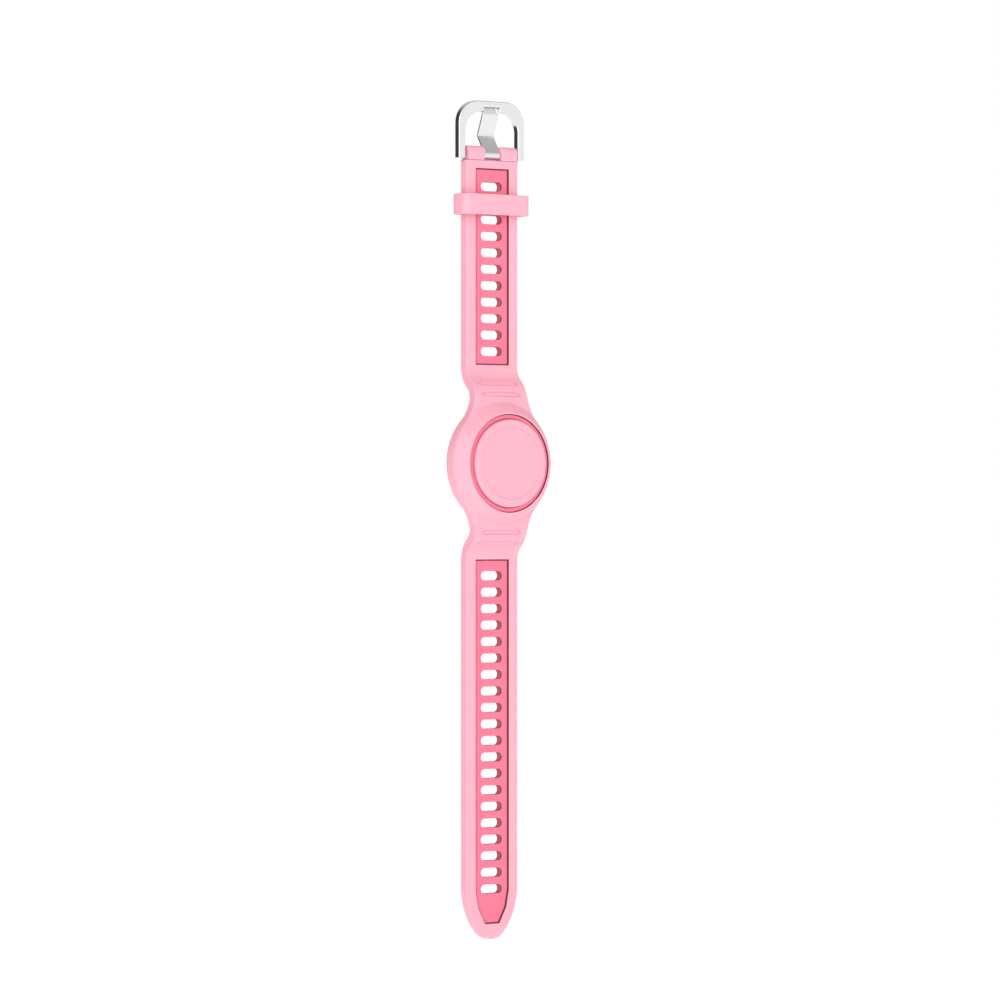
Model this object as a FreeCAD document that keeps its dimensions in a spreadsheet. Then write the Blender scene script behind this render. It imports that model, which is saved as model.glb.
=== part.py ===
import FreeCAD, Part

import math
import os
import re

import Sketcher

# A screenless fitness tracker on a one-piece silicone band, laid out straight.
#
# Frame: +Z runs along the strap from the pod to the buckle, +X is to the right seen from the front, and the
# front faces -Y. The origin is the centre of the pod's back face, where it rests on the wrist. Heights above
# that face are called "up" here, so a point at height u has Y = -u. Lengths are in millimetres.
#
# The band is one soft moulding in two colours. It is cut into short segments where it flexes on a wrist, and
# each cut has its hinge line on the wrist side, so that the segments open at the front as the band curls.

Vector = FreeCAD.Vector
OUTPUT = "parts"

DIMENSIONS = {
    # strap
    "strap_width": 19.4,
    "strap_thickness": 3.2,
    "strap_rounding": 0.4,
    "joint_gap": 0.1,
    "neck_joint": 27.0,
    "slot_pitch": 5.0,
    "slot_length": 8.0,
    "slot_width": 2.8,
    "slot_start": 34.0,
    "inlay_width": 12.1,
    "inlay_thickness": 0.8,
    "inlay_sunk": 0.4,
    "inlay_gap": 0.1,
    "buckle_inlay_start": 30.1,
    "buckle_inlay_end": 89.2,
    "tail_inlay_start": 29.3,
    "tail_inlay_shoulder": 129.5,
    "tail_inlay_waist": 134.5,
    "tail_inlay_waist_width": 10.2,
    "tail_inlay_end": 139.3,
    "tail_inlay_end_width": 5.1,
    "tail_round_start": 128.3,
    "tail_end": 144.2,
    "tail_nose_radius": 6.0,
    # neck between strap and pod
    "neck_near": 18.7,
    "neck_far": 29.4,
    "neck_fillet": 15.0,
    "flex_groove_length": 14.0,
    "flex_groove_radius": 0.65,
    "flex_groove_near": 20.9,
    "flex_groove_far": 24.2,
    # pod
    "pod_radius": 18.5,
    "pod_lift": 4.9,
    "pod_back_radius": 14.3,
    "pod_bevel_radius": 20.0,
    "pod_rim_radius": 15.2,
    "pod_height": 12.0,
    "pocket_radius": 14.85,
    "pocket_floor": 1.2,
    "push_out_radius": 9.5,
    # knuckle that carries the buckle
    "pin_z": 93.6,
    "pin_up": 1.9,
    "knuckle_start": 92.0,
    "knuckle_ramp_start": 90.6,
    "knuckle_ramp_end": 93.2,
    "knuckle_end": 96.2,
    "knuckle_bottom": 0.1,
    "knuckle_top": 4.1,
    "knuckle_half_width": 9.1,
    "knuckle_rounding": 1.9,
    "notch_half_width": 3.2,
    "notch_start": 91.7,
    "bar_bore_radius": 0.8,
    # spring bar
    "bar_radius": 0.75,
    "bar_inside_radius": 0.55,
    "bar_half_length": 9.05,
    "bar_lip": 0.15,
    "plunger_radius": 0.5,
    "plunger_start": 6.5,
    "tip_radius": 0.4,
    "tip_end": 10.95,
    "spring_radius": 0.38,
    "spring_wire": 0.1,
    "spring_turns": 16.0,
    # buckle frame and tongue
    "frame_half_width": 12.4,
    "frame_inside_half_width": 10.0,
    "frame_low": 0.8,
    "frame_high": 3.0,
    "frame_arm_end": 92.3,
    "frame_top": 109.9,
    "frame_outer_corner": 7.0,
    "frame_window_top": 106.6,
    "frame_inner_corner": 6.0,
    "frame_rounding": 0.3,
    "frame_hole_radius": 0.45,
    "frame_hole_reach": 11.1,
    "rest_half_width": 3.3,
    "rest_end": 108.2,
    "rest_floor": 1.3,
    "tongue_width": 6.0,
    "tongue_thickness": 0.6,
    "tongue_eye_radius": 1.45,
    # keeper
    "keeper_z": 78.4,
    "keeper_length": 6.2,
    "keeper_half_width": 12.5,
    "keeper_low": -1.15,
    "keeper_high": 6.4,
    "keeper_wall": 1.0,
    "keeper_corner": 2.2,
    # tracker module
    "module_radius": 14.75,
    "module_back": 1.25,
    "case_split": 3.2,
    "module_front": 11.6,
    "module_inside_radius": 13.9,
    "window_radius": 13.45,
    "lip_under": 10.75,
    "deck_low": 8.8,
    "deck_high": 9.4,
    "deck_hole_radius": 3.7,
    "cap_radius": 13.33,
    "cap_top": 12.3,
    "cap_flange_radius": 13.8,
    "cap_flange_low": 10.2,
    "cap_flange_high": 10.7,
    "cap_plunger_radius": 1.5,
    "cap_plunger_low": 9.45,
    "cap_dish_radius": 10.75,
    "cap_dish_depth": 0.15,
    "screw_circle": 12.6,
    "boss_radius": 1.4,
    "boss_low": 4.6,
    "screw_radius": 0.6,
    "screw_head_radius": 1.0,
    "screw_head_high": 1.95,
    "screw_end": 7.6,
    "board_low": 6.1,
    "board_high": 6.9,
    "board_radius": 12.9,
    "cell_radius": 10.0,
    "cell_low": 2.5,
    "cell_high": 5.7,
    "bay_inside_radius": 10.15,
    "bay_outside_radius": 11.1,
    "bay_top": 6.0,
    "back_plate_high": 2.45,
    "door_radius": 10.8,
    "door_hole_radius": 10.9,
    "door_high": 2.4,
    "lug_reach": 11.35,
    "lug_groove_radius": 11.45,
    "lug_low": 1.7,
    "lug_high": 2.2,
    "lug_width": 3.0,
    "coin_slot_length": 9.0,
    "coin_slot_width": 1.6,
    "coin_slot_depth": 0.6,
    "door_step": 0.35,
    "door_step_width": 0.65,
    # seals
    "spigot_high": 4.5,
    "spigot_inside_radius": 13.0,
    "seal_groove_radius": 13.35,
    "seal_groove_low": 3.6,
    "seal_groove_high": 4.2,
    "case_seal_radius": 13.62,
    "door_seal_radius": 10.48,
    "door_seal_up": 2.14,
    "seal_section_radius": 0.26,
    "gasket_inside_radius": 11.7,
    "gasket_outside_radius": 13.2,
    "gasket_height": 0.35,
    # on the board
    "switch_width": 6.0,
    "switch_height": 1.4,
    "switch_key_radius": 1.75,
    "switch_key_height": 0.7,
    "motor_radius": 4.0,
    "motor_z": -8.2,
    "contact_thickness": 0.2,
    "contact_width": 3.0,
    "clip_width": 2.4,
    "clip_low": 3.2,
}

doc = FreeCAD.newDocument("FitnessTrackerBand")
sizes = doc.addObject("Spreadsheet::Sheet", "Sizes")
for row, (alias, number) in enumerate(DIMENSIONS.items(), start=1):
    sizes.set(f"A{row}", alias)
    sizes.set(f"B{row}", str(number))
    sizes.setAlias(f"B{row}", alias)
doc.recompute()

# Worked-out places, as expressions of the sheet's cells
NECK_BEND = "(((neck_far - neck_near)^2 + pod_lift^2) / (4 * pod_lift))"
NECK_STEP = "(neck_far - neck_near)"
FRONT_REACH = f"({NECK_BEND} - strap_thickness / 2)"
BACK_REACH = f"({NECK_BEND} + strap_thickness / 2)"
PLATE_LOW = "(strap_thickness - inlay_sunk - inlay_thickness)"
PLATE_HIGH = "(strap_thickness - inlay_sunk)"
BUCKLE_JOINT = "(slot_start + 2.5 * slot_pitch)"
TAIL_JOINTS = [f"(slot_start + {count} * slot_pitch)" for count in (3.5, 8.5, 13.5)]

pieces = []


# ---- helpers -------------------------------------------------------------------------------------


def bound(expression):
    """The expression with each dimension's name pointed at its cell in the sheet."""
    return re.sub(
        r"[a-z]\w+", lambda word: f"Sizes.{word[0]}" if word[0] in DIMENSIONS else word[0], expression
    )


def value(expression):
    return float(sizes.evalExpression(bound(expression)))


def new_body(name):
    body = doc.addObject("PartDesign::Body", name)
    body.Label = name
    pieces.append(body)
    return body


def origin_feature(body, role):
    return next(item for item in body.Origin.OriginFeatures if item.Role == role)


def new_sketch(body, plane, offset="0"):
    """A sketch on an origin plane. The offset runs along the plane's normal, which is +X, -Y or +Z."""
    sketch = body.newObject("Sketcher::SketchObject", f"{body.Name}_sketch")
    sketch.AttachmentSupport = (origin_feature(body, plane), [""])
    sketch.MapMode = "FlatFace"
    if offset != "0":
        sketch.setExpression("AttachmentOffset.Base.z", bound(offset))
    return sketch


def pin_point(sketch, geometry, position, x, y):
    """Ties one point of the sketch to two expressions."""
    for kind, expression in (("DistanceX", x), ("DistanceY", y)):
        constraint = Sketcher.Constraint(kind, -1, 1, geometry, position, value(expression))
        number = sketch.addConstraint(constraint)
        sketch.setExpression(f"Constraints[{number}]", bound(expression))


def add_outline(sketch, corners):
    """A closed outline. A corner is (x, y), or (x, y, radius) when the edge that leaves it is an arc: a
    positive radius turns left, and a negative one turns right."""
    places = [Vector(value(corner[0]), value(corner[1]), 0) for corner in corners]
    ends = []
    for index, corner in enumerate(corners):
        start, end = places[index], places[(index + 1) % len(places)]
        if len(corner) == 2:
            geometry = sketch.addGeometry(Part.LineSegment(start, end), False)
            ends.append((geometry, 1, 2))
            continue
        radius = abs(value(corner[2]))
        left = value(corner[2]) > 0
        chord = end - start
        sideways = Vector(-chord.y, chord.x, 0).normalize() * (1 if left else -1)
        reach = math.sqrt(max(radius**2 - (chord.Length / 2) ** 2, 0))
        centre = (start + end) / 2 + sideways * reach
        first, last = (start, end) if left else (end, start)
        angles = [math.atan2(p.y - centre.y, p.x - centre.x) for p in (first, last)]
        if angles[1] < angles[0]:
            angles[1] += 2 * math.pi
        circle = Part.Circle(centre, Vector(0, 0, 1), radius)
        geometry = sketch.addGeometry(Part.ArcOfCircle(circle, *angles), False)
        ends.append((geometry, 1, 2) if left else (geometry, 2, 1))
        if reach > 1e-6:
            number = sketch.addConstraint(Sketcher.Constraint("Radius", geometry, radius))
            sketch.setExpression(f"Constraints[{number}]", bound(f"abs({corner[2]})"))
        else:  # a half circle on an upright chord: its ends give its radius, so its centre is kept on the chord
            number = sketch.addConstraint(Sketcher.Constraint("DistanceX", -1, 1, geometry, 3, start.x))
            sketch.setExpression(f"Constraints[{number}]", bound(corner[0]))
    for index, corner in enumerate(corners):
        geometry, first, last = ends[index]
        following = ends[(index + 1) % len(ends)]
        sketch.addConstraint(Sketcher.Constraint("Coincident", geometry, last, following[0], following[1]))
        pin_point(sketch, geometry, first, corner[0], corner[1])


def add_circle(sketch, x, y, radius):
    circle = Part.Circle(Vector(value(x), value(y), 0), Vector(0, 0, 1), value(radius))
    geometry = sketch.addGeometry(circle, False)
    pin_point(sketch, geometry, 3, x, y)
    number = sketch.addConstraint(Sketcher.Constraint("Radius", geometry, value(radius)))
    sketch.setExpression(f"Constraints[{number}]", bound(radius))


def rectangle(x0, y0, x1, y1):
    return [(x0, y0), (x1, y0), (x1, y1), (x0, y1)]


def mirrored(points):
    """Corners on the right of a symmetric outline, then the same ones on the left, in order round it."""
    corners = list(points)
    for index in reversed(range(len(points))):
        turn = points[index - 1][2:] if index else ()
        corners.append((f"-({points[index][0]})", points[index][1], *turn))
    return corners


def side_view(points, sign=1):
    """(Z, up) corners as corners in the YZ plane. A negative sign puts them on the tail's side."""
    flip = "-" if sign < 0 else ""
    return [(f"-({up})", f"{flip}({z})", *(f"{flip}({turn})" for turn in bend)) for z, up, *bend in points]


def add_feature(body, kind, sketch, **settings):
    feature = body.newObject(f"PartDesign::{kind}", f"{body.Name}_{kind.lower()}")
    feature.Profile = sketch
    for name, setting in settings.items():
        setattr(feature, name, setting)
    return feature


def pad(body, sketch, length, side="One side"):
    feature = add_feature(body, "Pad", sketch, SideType=side)
    feature.setExpression("Length", bound(length))
    return feature


def pocket(body, sketch, length, side="One side", reverse=False):
    """Cuts against the sketch's normal, and checks that something was cut."""
    doc.recompute()
    before = body.Shape.Volume
    feature = add_feature(body, "Pocket", sketch, SideType=side, Reversed=reverse)
    feature.setExpression("Length", bound(length))
    doc.recompute()
    if body.Shape.Volume > before - 1e-6:
        raise RuntimeError(f"{feature.Label} cuts nothing")
    return feature


def turned(body, corners, kind="Revolution"):
    """A profile of (radius, up) corners turned about the Y axis: added, or cut away as a Groove. Up maps to
    -Y, which mirrors the profile, so its arcs turn the other way."""
    doc.recompute()
    before = body.Shape.Volume if body.Tip else 0
    sketch = new_sketch(body, "XY_Plane")
    add_outline(sketch, [(radius, f"-({up})", *(f"-({turn})" for turn in bend)) for radius, up, *bend in corners])
    feature = add_feature(body, kind, sketch, ReferenceAxis=(sketch, ["V_Axis"]), Angle=360)
    doc.recompute()
    if kind == "Groove" and body.Shape.Volume > before - 1e-6:
        raise RuntimeError(f"{feature.Label} cuts nothing")
    return feature


def repeat_round(body, features, count):
    """Repeats features evenly round the Y axis."""
    pattern = body.newObject("PartDesign::PolarPattern", f"{body.Name}_pattern")
    pattern.Originals = features
    pattern.Axis = (origin_feature(body, "Y_Axis"), [""])
    pattern.Angle = 360
    pattern.Occurrences = count
    body.Tip = pattern
    doc.recompute()


def round_edges(body, radius, wanted):
    """Fillets the edges of the body for which wanted(middle, length) holds."""
    doc.recompute()
    names = []
    for number, edge in enumerate(body.Shape.Edges, start=1):
        if wanted(edge.CenterOfMass, edge.Length):
            names.append(f"Edge{number}")
    if not names:
        raise RuntimeError(f"{body.Label} has no such edge to round")
    base = body.Tip
    fillet = body.newObject("PartDesign::Fillet", f"{body.Name}_fillet")
    fillet.Base = (base, names)
    fillet.setExpression("Radius", bound(radius))
    body.Tip = fillet
    doc.recompute()


# ---- strap ---------------------------------------------------------------------------------------


def neck_middle(reach):
    """(Z, up) where the neck's two bends meet, on the surface whose strap-side bend has this radius."""
    z = f"neck_far - {NECK_STEP} / (2 * {NECK_BEND}) * {reach}"
    rise = f"(pod_lift - 2 * {NECK_BEND}) / (2 * {NECK_BEND})"
    return z, f"strap_thickness / 2 + {NECK_BEND} + {rise} * {reach}"


def neck_height(z, reach):
    """Height at z of the surface whose bend nearest the strap has this radius."""
    return f"strap_thickness / 2 + {NECK_BEND} - sqrt({reach}^2 - (neck_far - ({z}))^2)"


def cut_slots(body, sign, first, count, depth_from):
    """A row of tongue slots through the strap or its inlay."""
    sketch = new_sketch(body, "XZ_Plane", depth_from)
    half, reach = "slot_width / 2", "(slot_length - slot_width) / 2"
    middle = f"{sign} * (slot_start + {first} * slot_pitch)"
    corners = [
        (f"-{reach}", f"{middle} - {half}"),
        (reach, f"{middle} - {half}", half),
        (reach, f"{middle} + {half}"),
        (f"-{reach}", f"{middle} + {half}", half),
    ]
    add_outline(sketch, corners)
    slot = pocket(body, sketch, "strap_thickness + 2")
    pattern = body.newObject("PartDesign::LinearPattern", f"{body.Name}_slots")
    pattern.Originals = [slot]
    pattern.Direction = (origin_feature(body, "Z_Axis"), [""])
    pattern.Reversed = sign < 0
    pattern.Occurrences = count
    pattern.setExpression("Length", bound(f"{count - 1} * slot_pitch"))
    body.Tip = pattern
    doc.recompute()


def cut_recess(body, sign, start, end):
    """The straight-sided recess that holds the inlay."""
    sketch = new_sketch(body, "XZ_Plane", "strap_thickness")
    low, high = f"{sign} * ({start})", f"{sign} * ({end})"
    add_outline(sketch, rectangle("-inlay_width / 2", low, "inlay_width / 2", high))
    pocket(body, sketch, "inlay_sunk + inlay_thickness")


def round_strap(body):
    """Rounds the strap's long outer edges, front and back."""
    half = value("strap_width / 2")

    def long_outer_edge(middle, length):
        on_a_side = abs(abs(middle.x) - half) < 0.01
        return on_a_side and length > 10 and abs(middle.y + value("strap_thickness") / 2) > 1

    round_edges(body, "strap_rounding", long_outer_edge)


def first_strap(name, sign, joint, inlay_start, slot_count):
    """The strap segment next to the neck, which starts with the end of the neck's bend."""
    body = new_body(name)
    start, end = "neck_joint + joint_gap / 2", f"{joint} - joint_gap / 2"
    points = [
        (start, neck_height(start, BACK_REACH), BACK_REACH),
        ("neck_far", "0"),
        (end, "0"),
        (end, "strap_thickness"),
        ("neck_far", "strap_thickness", f"-{FRONT_REACH}"),
        (start, neck_height(start, FRONT_REACH)),
    ]
    sketch = new_sketch(body, "YZ_Plane")
    add_outline(sketch, side_view(points, sign))
    pad(body, sketch, "strap_width", "Symmetric")
    round_strap(body)
    cut_recess(body, sign, inlay_start, f"{joint} + 1")
    cut_slots(body, sign, 0, slot_count, "strap_thickness + 1")


def plain_strap(name, sign, start, end, first_slot, slot_count):
    """A strap segment of constant section."""
    body = new_body(name)
    sketch = new_sketch(body, "XZ_Plane")
    low, high = f"{sign} * ({start} + joint_gap / 2)", f"{sign} * ({end} - joint_gap / 2)"
    add_outline(sketch, rectangle("-strap_width / 2", low, "strap_width / 2", high))
    pad(body, sketch, "strap_thickness")
    round_strap(body)
    cut_recess(body, sign, f"{start} - 1", f"{end} + 1")
    cut_slots(body, sign, first_slot, slot_count, "strap_thickness + 1")
    return body


def inlay(name, corners, sign, first_slot, slot_count):
    """A strip of the darker silicone in the strap's recess, with the same slots."""
    body = new_body(name)
    sketch = new_sketch(body, "XZ_Plane", PLATE_LOW)
    add_outline(sketch, corners)
    pad(body, sketch, "inlay_thickness")
    cut_slots(body, sign, first_slot, slot_count, f"{PLATE_HIGH} + 1")
    return body


def plain_inlay(name, sign, start, end, first_slot, slot_count):
    half = "inlay_width / 2 - inlay_gap"
    corners = rectangle(f"-({half})", f"{sign} * ({start})", half, f"{sign} * ({end})")
    return inlay(name, corners, sign, first_slot, slot_count)


def make_buckle_strap():
    first_strap("buckle_strap_inner", 1, BUCKLE_JOINT, "buckle_inlay_start", 3)
    body = new_body("buckle_strap_outer")
    sketch = new_sketch(body, "XZ_Plane")
    start = f"{BUCKLE_JOINT} + joint_gap / 2"
    add_outline(sketch, rectangle("-strap_width / 2", start, "strap_width / 2", "knuckle_start"))
    pad(body, sketch, "strap_thickness")
    round_strap(body)
    cut_recess(body, 1, f"{BUCKLE_JOINT} - 1", "buckle_inlay_end")
    cut_slots(body, 1, 3, 8, "strap_thickness + 1")
    add_knuckle(body)

    gap = "joint_gap / 2"
    plain_inlay("buckle_inlay_inner", 1, "buckle_inlay_start + inlay_gap", f"{BUCKLE_JOINT} - {gap}", 0, 3)
    plain_inlay("buckle_inlay_outer", 1, f"{BUCKLE_JOINT} + {gap}", "buckle_inlay_end - inlay_gap", 3, 8)


def add_knuckle(body):
    """The thick rolled end, bored for the spring bar, with a notch for the tongue's eye."""
    turn = "knuckle_rounding"
    points = [
        ("knuckle_ramp_start", "knuckle_bottom"),
        (f"knuckle_end - {turn}", "knuckle_bottom", turn),
        ("knuckle_end", f"knuckle_bottom + {turn}"),
        ("knuckle_end", f"knuckle_top - {turn}", turn),
        (f"knuckle_end - {turn}", "knuckle_top"),
        ("knuckle_ramp_end", "knuckle_top"),
        ("knuckle_ramp_start", "strap_thickness"),
    ]
    sketch = new_sketch(body, "YZ_Plane")
    add_outline(sketch, side_view(points))
    pad(body, sketch, "2 * knuckle_half_width", "Symmetric")
    sketch = new_sketch(body, "XZ_Plane", "knuckle_top + 1")
    notch = rectangle("-notch_half_width", "notch_start", "notch_half_width", "knuckle_end + 1")
    add_outline(sketch, notch)
    pocket(body, sketch, "knuckle_top + 2")
    sketch = new_sketch(body, "YZ_Plane")
    add_circle(sketch, "-pin_up", "pin_z", "bar_bore_radius")
    pocket(body, sketch, "2 * knuckle_half_width + 2", "Symmetric")


def make_tail_strap():
    first, second, third = TAIL_JOINTS
    gap = "joint_gap / 2"
    first_strap("tail_strap_1", -1, first, "tail_inlay_start", 4)
    plain_strap("tail_strap_2", -1, first, second, 4, 5)
    plain_strap("tail_strap_3", -1, second, third, 9, 5)

    body = new_body("tail_strap_4")
    sketch = new_sketch(body, "XZ_Plane")
    nose = "tail_nose_radius"
    reach = f"(tail_end - {nose} - tail_round_start)"
    side = f"(((strap_width / 2)^2 + {reach}^2 - {nose}^2) / (strap_width - 2 * {nose}))"
    share = f"({side} / ({side} - {nose}))"
    right = [
        ("strap_width / 2", f"-({third} + {gap})"),
        ("strap_width / 2", "-tail_round_start", f"-{side}"),
        (
            f"strap_width / 2 - {side} + ({side} - strap_width / 2) * {share}",
            f"-(tail_round_start + {reach} * {share})",
            f"-{nose}",
        ),
    ]
    add_outline(sketch, mirrored(right))
    pad(body, sketch, "strap_thickness")
    round_strap(body)
    sketch = new_sketch(body, "XZ_Plane", "strap_thickness")
    add_outline(sketch, tail_inlay_corners(f"{third} - 1", "0"))
    pocket(body, sketch, "inlay_sunk + inlay_thickness")
    cut_slots(body, -1, 14, 6, "strap_thickness + 1")

    plain_inlay("tail_inlay_1", -1, "tail_inlay_start + inlay_gap", f"{first} - {gap}", 0, 4)
    plain_inlay("tail_inlay_2", -1, f"{first} + {gap}", f"{second} - {gap}", 4, 5)
    plain_inlay("tail_inlay_3", -1, f"{second} + {gap}", f"{third} - {gap}", 9, 5)
    inlay("tail_inlay_4", tail_inlay_corners(f"{third} + {gap}", "inlay_gap"), -1, 14, 6)


def tail_inlay_corners(start, gap):
    """The inlay tapers to a blunt point in the strap's rounded end."""
    right = [
        (f"inlay_width / 2 - {gap}", f"-({start})"),
        (f"inlay_width / 2 - {gap}", "-tail_inlay_shoulder"),
        (f"tail_inlay_waist_width / 2 - {gap}", "-tail_inlay_waist"),
        (f"tail_inlay_end_width / 2 - {gap}", f"-tail_inlay_end + {gap}"),
    ]
    return mirrored(right)


def make_keeper():
    body = new_body("keeper_loop")
    sketch = new_sketch(body, "XY_Plane", "keeper_z - keeper_length / 2")
    add_outline(sketch, keeper_corners("0", "keeper_corner"))
    add_outline(sketch, keeper_corners("keeper_wall", "keeper_corner - keeper_wall"))
    pad(body, sketch, "keeper_length")


def keeper_corners(inset, turn):
    half = f"(keeper_half_width - {inset})"
    front, back = f"(-keeper_high + {inset})", f"(-keeper_low - {inset})"
    right = [
        (f"{half} - ({turn})", front, turn),
        (half, f"{front} + {turn}"),
        (half, f"{back} - ({turn})", turn),
        (f"{half} - ({turn})", back),
    ]
    return mirrored(right)


# ---- pod -----------------------------------------------------------------------------------------


def make_pod_holder():
    """The round pocket that grips the tracker module, with a neck above and below it."""
    body = new_body("pod_holder")
    back_middle, front_middle = neck_middle(BACK_REACH), neck_middle(FRONT_REACH)
    end = "neck_joint - joint_gap / 2"
    right = [
        ("neck_near", "pod_lift", f"-{FRONT_REACH}"),
        (*back_middle, BACK_REACH),
        (end, neck_height(end, BACK_REACH)),
        (end, neck_height(end, FRONT_REACH), f"-{FRONT_REACH}"),
        (*front_middle, BACK_REACH),
        ("neck_near", "pod_lift + strap_thickness"),
    ]
    sketch = new_sketch(body, "YZ_Plane")
    add_outline(sketch, side_view(mirrored(right)))
    pad(body, sketch, "2 * pod_radius + 2", "Symmetric")
    trim_neck(body)
    rounding = "pod_bevel_radius"
    turned(
        body,
        [
            ("push_out_radius", "0"),
            ("pod_back_radius", "0", rounding),
            ("pod_radius", "pod_lift"),
            ("pod_radius", "pod_lift + strap_thickness", rounding),
            ("pod_rim_radius", "pod_height"),
            ("pocket_radius", "pod_height"),
            ("pocket_radius", "pocket_floor"),
            ("push_out_radius", "pocket_floor"),
        ],
    )
    inside = [
        ("0", "pocket_floor"),
        ("pocket_radius", "pocket_floor"),
        ("pocket_radius", "pod_height + 1"),
        ("0", "pod_height + 1"),
    ]
    turned(body, inside, "Groove")
    for sign in (1, -1):
        for groove in ("flex_groove_near", "flex_groove_far"):
            cut_flex_groove(body, sign, groove)


def trim_neck(body):
    """Cuts the neck to its outline from the front: a hollow fillet leads each strap side into the pod."""
    reach = "(pod_radius + neck_fillet)"
    across = "(strap_width / 2 + neck_fillet)"
    along = f"sqrt({reach}^2 - {across}^2)"
    ratio = f"(pod_radius / {reach})"
    outside = [
        ("pod_radius + 3", "neck_joint + 3"),
        ("strap_width / 2", "neck_joint + 3"),
        ("strap_width / 2", along, "neck_fillet"),
        (f"{across} * {ratio}", f"{along} * {ratio}"),
        (f"{across} * {ratio}", f"-{along} * {ratio}", "neck_fillet"),
        ("strap_width / 2", f"-{along}"),
        ("strap_width / 2", "-neck_joint - 3"),
        ("pod_radius + 3", "-neck_joint - 3"),
    ]
    for side in ("", "-"):
        sketch = new_sketch(body, "XZ_Plane", "pod_height")
        corners = outside if not side else mirrored(outside)[len(outside) :]
        add_outline(sketch, corners)
        pocket(body, sketch, "2 * pod_height")


def cut_flex_groove(body, sign, place):
    """A shallow groove across the neck's front, where the strap flexes."""
    height = (
        f"pod_lift + strap_thickness / 2 - {NECK_BEND} + sqrt({BACK_REACH}^2 - ({place} - neck_near)^2)"
    )
    sketch = new_sketch(body, "YZ_Plane")
    flip = "-" if sign < 0 else ""
    add_circle(sketch, f"-({height} + flex_groove_radius / 2.5)", f"{flip}{place}", "flex_groove_radius")
    pocket(body, sketch, "flex_groove_length", "Symmetric")


# ---- buckle --------------------------------------------------------------------------------------


def make_buckle_frame():
    """A U of flat steel. Its arms hang on the spring bar, and its top bar has a rest for the tongue."""
    body = new_body("buckle_frame")
    outer, inner = "frame_outer_corner", "frame_inner_corner"
    right = [
        ("frame_inside_half_width", "frame_arm_end"),
        ("frame_half_width", "frame_arm_end"),
        ("frame_half_width", f"frame_top - {outer}", outer),
        (f"frame_half_width - {outer}", "frame_top"),
    ]
    inside = [
        ("-frame_inside_half_width", f"frame_window_top - {inner}", f"-{inner}"),
        (f"-frame_inside_half_width + {inner}", "frame_window_top"),
        (f"frame_inside_half_width - {inner}", "frame_window_top", f"-{inner}"),
        ("frame_inside_half_width", f"frame_window_top - {inner}"),
    ]
    sketch = new_sketch(body, "XZ_Plane", "frame_low")
    add_outline(sketch, mirrored(right) + inside)
    pad(body, sketch, "frame_high - frame_low")
    front, end = -value("frame_high"), value("frame_arm_end")
    round_edges(
        body,
        "frame_rounding",
        lambda middle, length: abs(middle.y - front) < 0.01 and middle.z > end + 0.1,
    )
    sketch = new_sketch(body, "XZ_Plane", "frame_high + 1")
    rest = rectangle("-rest_half_width", "frame_window_top - 1", "rest_half_width", "rest_end")
    add_outline(sketch, rest)
    pocket(body, sketch, "frame_high + 1 - rest_floor")
    sketch = new_sketch(body, "YZ_Plane")
    add_circle(sketch, "-pin_up", "pin_z", "frame_hole_radius")
    pocket(body, sketch, "2 * frame_hole_reach", "Symmetric")


# the middle of the tongue's thickness as (Z, up), from its eye down into the dip and up to its tip
TONGUE_LINE = [(94.6, 3.05), (99.6, -0.4), (105.9, 2.1), (107.8, 1.62)]


def make_tongue():
    """A bent strip of steel with an eye round the spring bar, its tip lying in the frame's rest."""
    body = new_body("buckle_tongue")
    sketch = new_sketch(body, "YZ_Plane")
    add_outline(sketch, side_view(strip_corners(TONGUE_LINE, value("tongue_thickness") / 2)))
    pad(body, sketch, "tongue_width", "Symmetric")
    sketch = new_sketch(body, "YZ_Plane")
    add_circle(sketch, "-pin_up", "pin_z", "tongue_eye_radius")
    pad(body, sketch, "tongue_width", "Symmetric")
    sketch = new_sketch(body, "YZ_Plane")
    add_circle(sketch, "-pin_up", "pin_z", "bar_bore_radius")
    pocket(body, sketch, "tongue_width + 1", "Symmetric")


def strip_corners(line, half):
    """Both sides of a bent strip, mitred at its bends, from the line along its middle."""
    sides = {1: [], -1: []}
    for index, (z, up) in enumerate(line):
        before = line[max(index - 1, 0)]
        after = line[min(index + 1, len(line) - 1)]
        normals = []
        for a, b in ((before, (z, up)), ((z, up), after)):
            length = math.dist(a, b)
            if length:
                normals.append(Vector(-(b[1] - a[1]) / length, (b[0] - a[0]) / length, 0))
        mitre = sum(normals[1:], normals[0])
        mitre = mitre / mitre.Length
        offset = mitre * (half / mitre.dot(normals[0]))
        for side in sides:
            sides[side].append((str(z + side * offset.x), str(up + side * offset.y)))
    return sides[-1] + sides[1][::-1]


def make_spring_bar():
    """A sprung bar through the knuckle. Its two tips push into the frame's arms."""
    half = "bar_half_length"
    body = new_body("spring_bar_tube")
    sketch = new_sketch(body, "YZ_Plane")
    add_circle(sketch, "-pin_up", "pin_z", "bar_radius")
    pad(body, sketch, f"2 * {half}", "Symmetric")
    for radius, length in (("bar_inside_radius", f"{half} - bar_lip"), ("tip_radius + 0.05", f"{half} + 1")):
        sketch = new_sketch(body, "YZ_Plane")
        add_circle(sketch, "-pin_up", "pin_z", radius)
        pocket(body, sketch, f"2 * ({length})", "Symmetric")
    for name, side in (("spring_bar_tip_right", "1"), ("spring_bar_tip_left", "-1")):
        body = new_body(name)
        for radius, start, end in (
            ("plunger_radius", "plunger_start", f"{half} - bar_lip"),
            ("tip_radius", "plunger_start + 1", "tip_end"),
        ):
            near = start if side == "1" else f"-({end})"
            sketch = new_sketch(body, "YZ_Plane", near)
            add_circle(sketch, "-pin_up", "pin_z", radius)
            pad(body, sketch, f"{end} - ({start})")
    make_bar_spring()


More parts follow.
